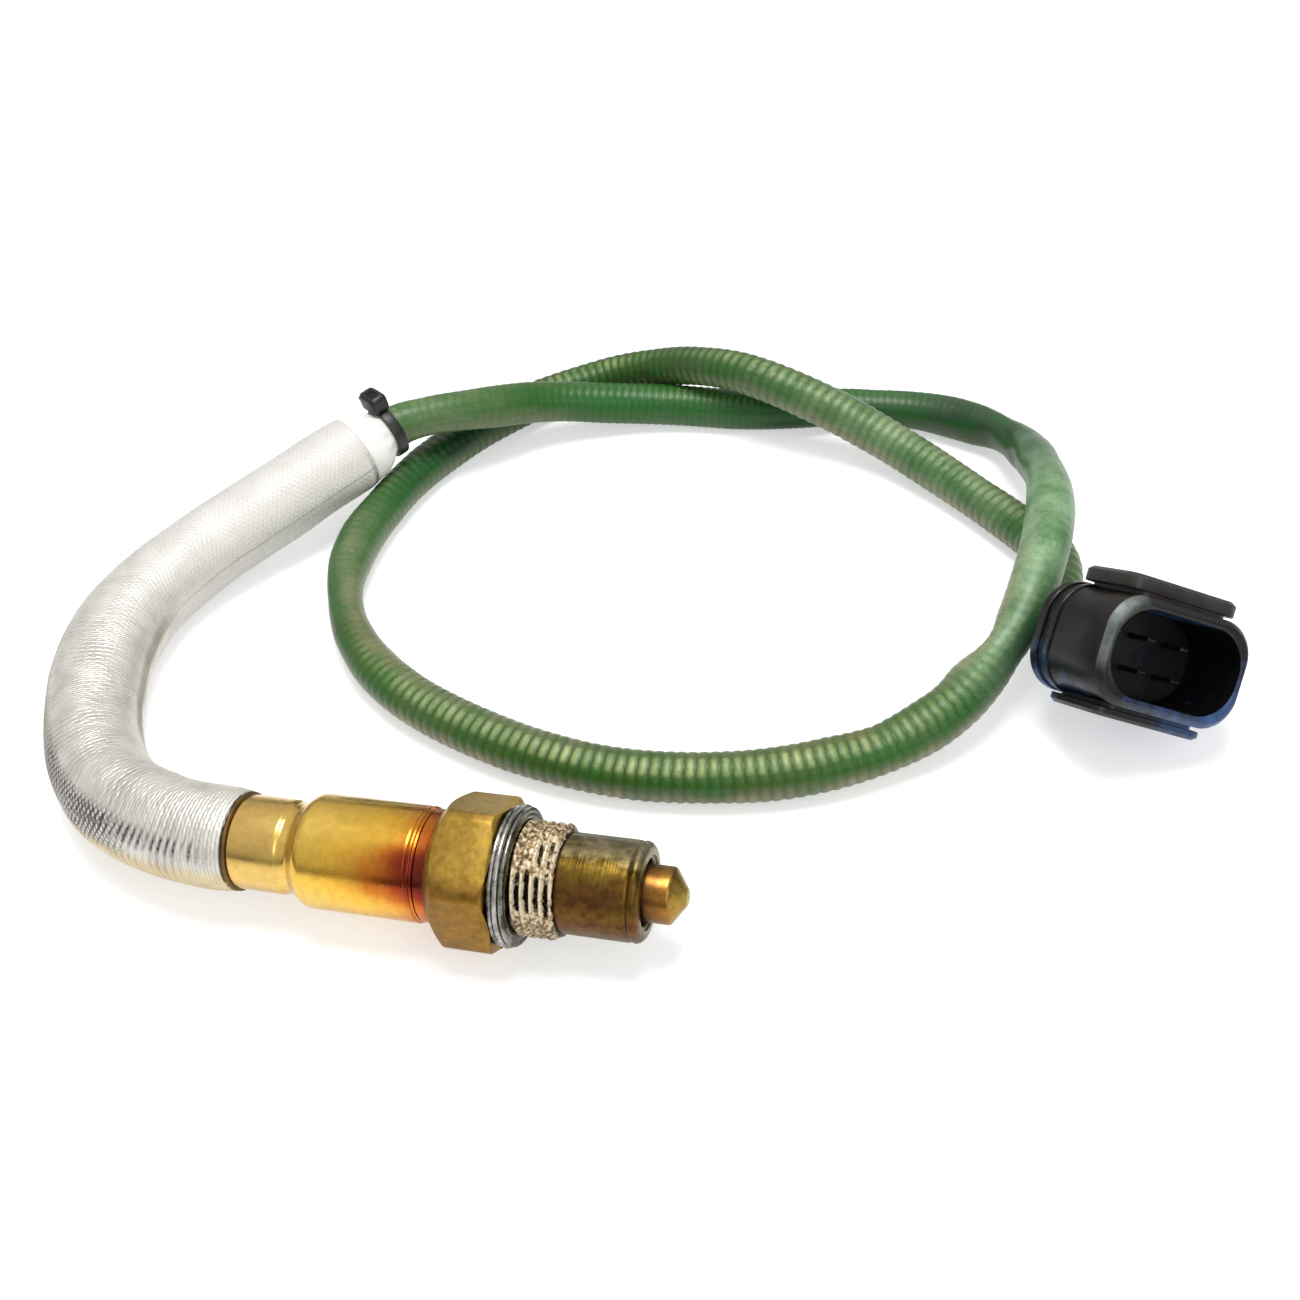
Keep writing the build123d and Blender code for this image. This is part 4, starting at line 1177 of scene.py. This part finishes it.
# ---- sensor head -------------------------------------------------------------
@dataclass
class SensorHead:
    """Hexagon housing with its thread, folded ring, protection tubes, rear sleeve and collar.

    The paste is thin about two stretches round the axis, each given by its middle and its reach in degrees,
    and there it is also painted paler, as a painted highlight on the upper front and top.
    """

    segments: int = 192
    hex_af: float = 22.0
    corner_r: float = 12.3
    hex_rear: float = -13.4
    hex_front: float = -2.8
    cone_len: float = 2.6
    collar_r: float = 8.85
    collar_rear: float = -15.3
    spigot_rear: float = -21.0
    spigot_r: float = 8.5
    seal_bore_r: float = 6.0
    neck_r: float = 7.9
    thread_r: float = 9.0
    thread_depth: float = 0.92
    thread_len: float = 7.0
    thread_rows: int = 120
    thin_paste_highlight_deg: tuple = (33, 18)
    rubbed_deg: tuple = (78, 20)
    pitch: float = 1.5
    chamfer: float = 0.8
    runout: float = 0.3
    front_bore_r: float = 4.2
    nose_r: float = 7.05
    nose_len: float = 2.4
    ring_r: float = 11.1
    ring_bore: float = 8.1
    outer_r: float = 7.75
    outer_wall: float = 0.6
    outer_end: float = 19.7
    inner_r: float = 4.4
    inner_wall: float = 0.4
    inner_end: float = 23.4
    tip_x: float = 25.7
    tip_r: float = 1.2
    gas_gap: float = 0.7
    sleeve_r: float = 9.15
    sleeve_wall: float = 0.55
    sleeve_step: float = -34.3
    rear_r: float = 7.6
    rear_start: float = -37.2
    rear_end: float = -47.2
    crimp_depth: float = 0.35
    crimp_len: float = 1.4
    lip_r: float = 8.05
    lip_rear: float = -48.0

    def build_hexagon(self) -> None:
        """Housing as one closed grid: a profile whose hexagon stretch follows the angle round the axis.

        The flat's radius is half the spanner size over the cosine of the angle from the flat's middle,
        cut off at the turned corners.  The rear cone and the front chamfer end where they meet that
        radius, so their edges curve as on a turned hexagon.  The thread's radius falls and rises with
        the distance along X less a share of the pitch for the angle, and is chamfered at its front end;
        its paste marks fade at both ends.
        """
        angle = circle(self.segments)
        # the hexagon's own radius at each angle, and where the cone and the chamfer meet it
        off = (angle + pi / 6) % (pi / 3) - pi / 6
        corner = np.minimum(self.hex_af / 2 / np.cos(off), self.corner_r)
        base, nose_cut = self.collar_r + 0.2, 0.9
        nose = self.corner_r - nose_cut
        spigot, collar, rear, front = self.spigot_rear, self.collar_rear, self.hex_rear, self.hex_front
        cone_x = rear + (corner - base) * self.cone_len / (self.corner_r - base)
        nose_x = front - 0.5 * (corner - nose) / nose_cut
        # (x, radius) from the rear spigot to the thread, and from the thread round into the bore
        body = [(spigot, self.seal_bore_r), (spigot, self.spigot_r), (collar, self.spigot_r),
                (collar, self.collar_r - 0.25), (collar + 0.25, self.collar_r), (rear - 0.1, self.collar_r),
                (rear, base), (cone_x - 0.12, corner - 0.09), (cone_x + 0.05, corner), (nose_x - 0.05, corner),
                (nose_x + 0.1, corner - 0.12), (front, nose), (front, self.neck_r), (-self.runout, self.neck_r)]
        tip = self.thread_len + self.nose_len
        inside = [(self.thread_len, self.nose_r), (tip, self.nose_r), (tip, self.front_bore_r),
                  (-1.5, self.front_bore_r), (-3.5, self.seal_bore_r)]
        # thread, with paste that fills it except where its crests are bare
        x = np.repeat(np.linspace(0, self.thread_len, self.thread_rows)[:, None], self.segments, axis=1)
        wave = (x / self.pitch - angle / TAU) % 1.0
        flank = unit(1.5 - np.abs(wave - 0.5) * 3.6)
        fade = unit(np.minimum(x, self.thread_len - x) / 0.5)
        lift = np.arctan2(np.sin(angle), -np.cos(angle))
        # stretches of thin paste, where the shader also paints the paste paler as a highlight on the upper front and
        # top
        (thin_paste_highlight_at, reach), (rubbed_at, rubbed_reach) = np.radians(self.thin_paste_highlight_deg), np.radians(self.rubbed_deg)
        fresh = unit(1.7 - np.abs(lift - thin_paste_highlight_at) / reach)
        rubbed = 0.6 * unit(1.5 - np.abs(lift - rubbed_at) / rubbed_reach) * unit((x - 2.2) / 1.5)
        fresh = np.maximum(fresh, rubbed)
        blob = 0.5 + 0.5 * ripple(x * 0.7, angle * 3.5 + x * 0.2, 17)
        cover = unit(1 - fresh + 0.25 * (blob - 0.5))
        top = np.minimum(self.thread_r, self.thread_r - (x - (self.thread_len - self.chamfer)))
        depth = self.thread_depth * flank * (1 - 0.62 * cover) + 0.1 * (1 - blob) * cover
        thread = np.stack([x, np.maximum(top - depth, self.neck_r + 0.1)], axis=1)
        body, inside = (np.array([[along + 0 * angle, r + 0 * angle] for along, r in part])
                        for part in (body, inside))
        profile = np.concatenate([body, thread, inside])
        # the hexagon has a corner straight down
        points = np.stack([profile[:, 0], profile[:, 1] * np.cos(angle), profile[:, 1] * np.sin(angle)], axis=-1)
        low = unit((-points[..., 2] - 5.4) / 1.5) * (points[..., 0] > 0.4) * (points[..., 0] < 6.4)
        marks = {}
        for mark, values in (("crest", 1 - flank), ("smear", cover), ("fresh", fresh)):
            marks[mark] = np.zeros(low.shape)
            marks[mark][len(body):-len(inside)] = values * fade
        marks["smear"] = np.maximum(marks["smear"], 1.6 * low)
        piece = lay_grid("hexagon_housing", points, closed=True, marks=marks, sharp=32)
        # three finishes along X
        middle = np.empty(len(piece.data.polygons) * 3)
        piece.data.polygons.foreach_get("center", middle)
        for surface in (Surface.SLEEVE, Surface.HEXAGON, Surface.THREAD):
            piece.data.materials.append(surface.material())
        stretch = np.digitize(middle[::3] / MM, (self.hex_rear - 0.05, -1.0))
        piece.data.polygons.foreach_set("material_index", stretch.astype(np.int32))
        dress(piece, Surface.HEXAGON, "passivated_steel", "hex_housing")

    def turned(self, name: str, outline: Sequence, surface: Surface, slot: str, node: str, edge: float = 0.0,
               sharp: float = 50.0) -> None:
        """Make a closed turned piece and dress it.

        Args:
            name: object name.
            outline: (x, radius) corners.
            surface: its finish.
            slot: name of a material slot, passed on to dress, which only logs it.
            node: CAD node that it stands for.
            edge: rounding of the corners, or 0 where they are drawn already.
            sharp: crisp edge angle in degrees.
        """
        profile = soften(outline, edge) if edge else np.array(outline)
        grid = turn_about_x(profile, self.segments // 2)
        dress(lay_grid(name, grid, closed=True, sharp=sharp), surface, slot, node)

    def build_ring(self) -> None:
        """Folded sealing ring: its rim is three rolled folds, and its front face carries two turned beads."""
        r, rear = self.ring_r, self.hex_front + 0.15
        t = np.linspace(0, pi, 9)
        fold = -rear / 6
        rolls = [np.stack([rear + fold * (2 * k + 1) - fold * np.cos(t), size - 0.5 + 0.5 * np.sin(t)], axis=-1)
                 for k, size in enumerate((r - 0.15, r, r - 0.3))]
        face = [(0, r - 1.1), (-0.12, r - 1.25), (0, r - 1.4), (0, self.thread_r + 0.1),
                (-self.runout, self.ring_bore), (rear, self.ring_bore)]
        self.turned("folded_ring", np.vstack([*rolls, face]), Surface.RING, "ring_steel", "sealing_ring", sharp=45)

    def build_tubes(self) -> None:
        """Outer protection tube with its rolled lip, and the inner tube with its cone and flat tip."""
        r, bore, end = self.outer_r, self.outer_r - self.outer_wall, self.outer_end
        hole = self.inner_r + self.gas_gap
        t = np.linspace(0, pi / 2, 8)
        shoulder = np.stack([end - 1.3 + 1.3 * np.sin(t), r - 1.3 + 1.3 * np.cos(t)], axis=-1)
        outline = [(self.thread_len, bore), (self.thread_len, r), (end - 2.3, r), (end - 2.0, r - 0.06),
                   (end - 1.8, r - 0.28), (end - 1.5, r - 0.1)]
        rest = [(end, r - 2.0), (end - 0.35, r - 2.1), (end - 0.35, hole + 0.15), (end - 0.65, hole),
                (end - 0.95, hole), (end - 0.95, bore)]
        self.turned("outer_tube", np.vstack([outline, shoulder, rest]), Surface.OUTER_TUBE, "tube_steel",
                    "outer_protection_tube")
        w, r, base = self.inner_wall, self.inner_r, self.thread_len + self.nose_len + 0.02
        cone, tip = self.inner_end, self.tip_x
        self.turned("inner_tube", (
            (base, r - w), (base, self.nose_r), (base + w, self.nose_r), (base + w, r), (cone, r),
            (tip, self.tip_r), (tip, 0.02), (tip - w, 0.02), (tip - w, self.tip_r - 0.2), (cone - 0.2, r - w)),
            Surface.TIP, "tip_steel", "inner_protection_tube", 0.35)

    def build_sleeve(self) -> None:
        """Gold rear sleeve, which steps down through a taper and a crimp groove, and its rolled collar."""
        w, r, front, step = self.sleeve_wall, self.sleeve_r, self.collar_rear, self.sleeve_step
        small, taper, end = self.rear_r, self.rear_start, self.rear_end
        groove, groove_r = taper - self.crimp_len, small - self.crimp_depth
        self.turned("drawn_sleeve", (
            (front, r - 0.3), (front - 0.35, r - 0.3), (front - 0.5, r), (front - 1.1, r), (front - 1.25, r - 0.14),
            (front - 1.5, r), (step, r), (step - 0.9, r - 0.35), (taper + 0.5, small - 0.05), (taper, groove_r),
            (groove, groove_r), (groove - 0.6, small), (end, small), (end, small - w), (groove - 0.6, small - w),
            (groove, groove_r - w), (taper + 0.25, groove_r - w), (step - 0.65, r - 0.35 - w),
            (step + 0.25, r - w), (front, r - w)), Surface.SLEEVE, "sleeve_steel", "rear_sleeve", 0.3)
        lip, r = self.lip_rear, self.lip_r
        self.turned("rolled_collar", (
            (lip, groove_r - w), (lip, r - 0.25), (lip + 0.25, r), (end - 0.25, r), (end, r - 0.25),
            (end, groove_r - w)), Surface.COLLAR, "collar_steel", "crimp_collar", 0.1)

    def build(self) -> None:
        """Make every piece of the head."""
        self.build_hexagon()
        self.build_ring()
        self.build_tubes()
        self.build_sleeve()


# ---- connector ---------------------------------------------------------------
@dataclass
class Connector:
    """Black socket: a rounded shell with stepped rear bands, two side rails, rear cap and cable adapter."""

    width: float = 28.8
    height: float = 18.3
    wall: float = 1.8
    corner: float = 6.4
    socket_corner: float = 6.6
    length: float = 19.0
    socket: float = 13.0
    bevel: float = 1.0
    bands: tuple = ((0.4, 0.0, 1.8), (0.3, 3.4, 4.8))
    rail_w: float = 22.0
    rail_len: float = 14.0
    rail_back: float = 2.2
    rail_corner: float = 2.4
    rail_edge: float = 0.6
    rail_t: tuple = ((-1, 1.6), (1, 2.6))
    rail_web: float = 0.6
    rail_web_w: float = 18.0
    rail_root: float = 1.2
    cap_steps: tuple = ((26.0, 16.2, 2.0), (21.0, 14.8, 2.5))
    adapter_r: float = 5.3
    adapter_bore: float = 3.5
    adapter_len: float = 5.0
    tone_z: tuple = (-14.0, 20.0)
    inner_nodes: tuple = ("connector_pins", "pin_carrier", "wire_seal", "connector_wires")

    def place(self, local: np.ndarray) -> np.ndarray:
        """Points of the connector's frame (width, height, out of the mouth) in the row frame."""
        return np.array(MOUTH) + local @ mouth_axes()

    def outline(self, width: float, height: float, corner: float, steps: int = 14) -> np.ndarray:
        """Draw a rounded rectangle: quarter circles, each centred one corner radius inside both sides.

        Args:
            width: its full width.
            height: its full height.
            corner: corner radius.
            steps: points on each quarter.

        Returns:
            Its points, once round.
        """
        t = np.linspace(0, pi / 2, steps)
        quarter = np.stack([np.cos(t), np.sin(t)], axis=-1) * corner + (width / 2 - corner, height / 2 - corner)
        return np.vstack([quarter[::step] * flip for step, flip in (
            (1, (1, 1)), (-1, (-1, 1)), (1, (-1, -1)), (-1, (1, -1)))])

    def stack(self, levels: Sequence[tuple]) -> np.ndarray:
        """Stack rounded rectangles into a grid.

        Args:
            levels: width, height, corner radius and depth of each.

        Returns:
            Rows x columns points of the connector's frame.
        """
        rings = np.array([self.outline(*size) for *size, _ in levels])
        depths = np.array([level[-1] for level in levels])[:, None]
        return np.stack(np.broadcast_arrays(rings[..., 0], rings[..., 1], depths), axis=-1)

    def tone(self, local: np.ndarray) -> np.ndarray:
        """Share of the way up through tone_z that each point of the connector's frame has: the mark for its painted
        blue and brown reflections.
        """
        low, high = self.tone_z
        return unit((self.place(local)[..., 2] - low) / (high - low))

    def black(self, name: str, local: np.ndarray, node: str, rim: np.ndarray | None = None,
              height: np.ndarray | None = None) -> bpy.types.Object:
        """Skin a grid of the connector's frame in black plastic, with painted reflection and highlight marks.

        Args:
            name: object name.
            local: rows x columns x 3 grid.
            node: CAD node that it stands for.
            rim: how much painted highlight each point has, or None.
            height: painted reflection mark of each point, or None for the one by its height above the table.

        Returns:
            The dressed piece.
        """
        points = self.place(local)
        rim = np.zeros(points.shape[:2]) if rim is None else rim
        height = self.tone(local) if height is None else height
        piece = lay_grid(name, points, sharp=32, marks={"height": height, "rim": rim})
        return dress(piece, Surface.PBT, "black_plastic", node)

    def build_shell(self) -> bpy.types.Object:
        """Shell as one closed grid: out along its outside, over the bevelled rim and back down the socket.

        Returns:
            The shell.
        """
        # outside with its stepped bands, as (how much narrower, depth), and the rim's bevel
        w, h, c, end = self.width, self.height, self.corner, -self.length
        outer = [(8.0, end), (-0.5, end)]
        for rise, start, stop in self.bands:
            outer += [(0.3 - 2 * rise, end + start), (-2 * rise, end + start + 0.2), (-2 * rise, end + stop - 0.2),
                      (0.3 - 2 * rise, end + stop), (0.0, end + stop)]
        b = self.bevel
        outer += [(0.0, -7.0), (0.0, -b - 0.12), (0.16, -b + 0.04), (2 * b - 0.16, -0.06)]
        levels = [(w - pull, h - pull, c - pull / 2, depth) for pull, depth in outer]
        rim_row = len(levels) - 1
        levels.append((w - 2 * b - 0.1, h - 2 * b - 0.1, c - b, 0))
        # inside, down to the socket's floor
        w, h, c, floor = w - 2 * self.wall, h - 2 * self.wall, self.socket_corner, -self.socket
        levels += [(w - pull, h - pull, c - pull / 2, depth) for pull, depth in (
            (-0.5, 0.0), (-0.1, -0.12), (0.0, -0.4), (0.0, -3.0), (0.0, floor + 0.5), (0.3, floor), (6.0, floor))]
        levels.append((w - 13, 0.6, 0.25, floor))
        # a painted highlight on the rim's upper left, a painted blue reflection on the socket's wall on that side,
        # and plain black down the rest of the socket
        local = self.stack(levels)
        rim = np.zeros(local.shape[:2])
        lit = self.outline(1.0, 1.0, 0.5) @ np.array([-0.8, 0.6])
        rim[rim_row - 1:rim_row + 2] = unit((lit - 0.3) / 0.2)
        height = self.tone(local)
        height[rim_row + 4:] = 0.65 - 0.35 * unit((lit - 0.2) / 0.2)
        height[-3:] = 0.65
        return self.black("socket_shell", local, "connector_housing", rim, height)

    def build_rail(self, side: int, thick: float) -> bpy.types.Object:
        """Guide rail beside the shell: a slab with rounded corners and bevelled face on a narrower web.

        Args:
            side: 1 or -1, the side of the shell.
            thick: its thickness.

        Returns:
            The rail.
        """
        x, z = self.rail_w / 2, self.rail_len / 2
        ring = soften(((-x, -z), (x, -z), (x, z), (-x, z)), self.rail_corner, 8)
        middle = -self.rail_back - z
        low, near = self.height / 2 - self.rail_root, self.height / 2 + self.rail_web
        far, web, edge = near + thick, x - self.rail_web_w / 2, self.rail_edge
        levels = ((low, web, 0.02), (near, web, 0.02), (near, 0.15, 0.15), (near + 0.15, 0, 0), (far - edge, 0, 0),
                  (far - 0.05, edge - 0.08, edge - 0.08), (far, edge, edge), (far, edge + 0.4, edge + 0.4))
        local = np.array([np.column_stack([ring[:, 0] * (1 - pull_x / x), np.full(len(ring), side * level),
                                           ring[:, 1] * (1 - pull_z / z) + middle])
                          for level, pull_x, pull_z in levels])
        # a faint painted highlight on the upper rail's bevelled edge, and the painted reflections by height shifted a
        # little towards black and brown
        rim = np.zeros(local.shape[:2])
        rim[4:6] = 0.12 if side > 0 else 0.0
        return self.black(f"guide_rail_{'upper' if side > 0 else 'lower'}", local, "connector_housing", rim,
                          self.tone(local) + 0.12)

    def build_cap(self) -> bpy.types.Object:
        """Rear cap that steps down to the cable outlet.

        Returns:
            The cap.
        """
        levels, depth = [], -self.length
        for width, height, step in self.cap_steps:
            corner = self.corner - (self.height - height) / 2
            for pull, back in ((0.0, 0.0), (0.0, step - 0.4), (0.4, step)):
                levels.append((width - 2 * pull, height - 2 * pull, corner - pull, depth - back))
            depth -= step
        return self.black("stepped_cap", self.stack(levels), "rear_cap")

    def build_adapter(self) -> bpy.types.Object:
        """Rubber adapter between cap and conduit, with three ribs round it.

        Returns:
            The adapter.
        """
        start = -self.length - sum(step[2] for step in self.cap_steps)
        r, bore = self.adapter_r, self.adapter_bore
        outline = [(start, bore), (start, r - 0.5)]
        for k in range(3):
            mid = start - 0.7 - 1.6 * k
            outline += [(mid + 0.5, r - 0.5), (mid + 0.4, r), (mid - 0.4, r), (mid - 0.5, r - 0.5)]
        outline += [(start - self.adapter_len, r - 0.5), (start - self.adapter_len, bore)]
        local = turn_about_x(soften(outline, 0.15, 3), 72)[..., [1, 2, 0]] + (0.0, OUTLET_RISE, 0.0)
        return dress(lay_grid("ribbed_adapter", self.place(local), closed=True, sharp=50), Surface.RUBBER,
                     "grommet_rubber", "sleeve_adapter")

    def build(self) -> list:
        """Make the connector.

        Returns:
            Its pieces and the CAD nodes in it that stay.
        """
        made = [self.build_shell(), self.build_cap(), self.build_adapter()]
        made += [self.build_rail(side, thick) for side, thick in self.rail_t]
        return made + [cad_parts[name] for name in self.inner_nodes]


KEPT_NODES = {
    "sensor_element": Surface.CERAMIC, "lower_ceramic_bushing": Surface.CERAMIC, "powder_seal": Surface.TALC,
    "upper_ceramic_bushing": Surface.CERAMIC, "press_ring": Surface.RING, "contact_holder": Surface.CERAMIC,
    "element_contacts": Surface.CONTACT, "holder_spring": Surface.RING, "cable_grommet": Surface.RUBBER,
    "sensor_wires": Surface.WIRE, "connector_pins": Surface.CONTACT, "pin_carrier": Surface.CARRIER,
    "wire_seal": Surface.RUBBER, "connector_wires": Surface.WIRE,
}


def dress_kept_nodes() -> None:
    """Give the carried-over CAD nodes their finishes."""
    for name, surface in KEPT_NODES.items():
        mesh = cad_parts[name].data
        mesh.materials.clear()
        mesh.materials.append(surface.material())
        LOG.info("%s dressed as %s", name, surface.value.name)


def main() -> None:
    """Build the studio, the cords and what is on them, the sensor head, and finish what stays."""
    logging.basicConfig(level=logging.INFO, format="%(message)s")
    Studio().build()
    HeatSleeve().build()
    CorrugatedLead().build(Connector().build())
    SensorHead().build()
    dress_kept_nodes()


if __name__ == "__main__":
    main()
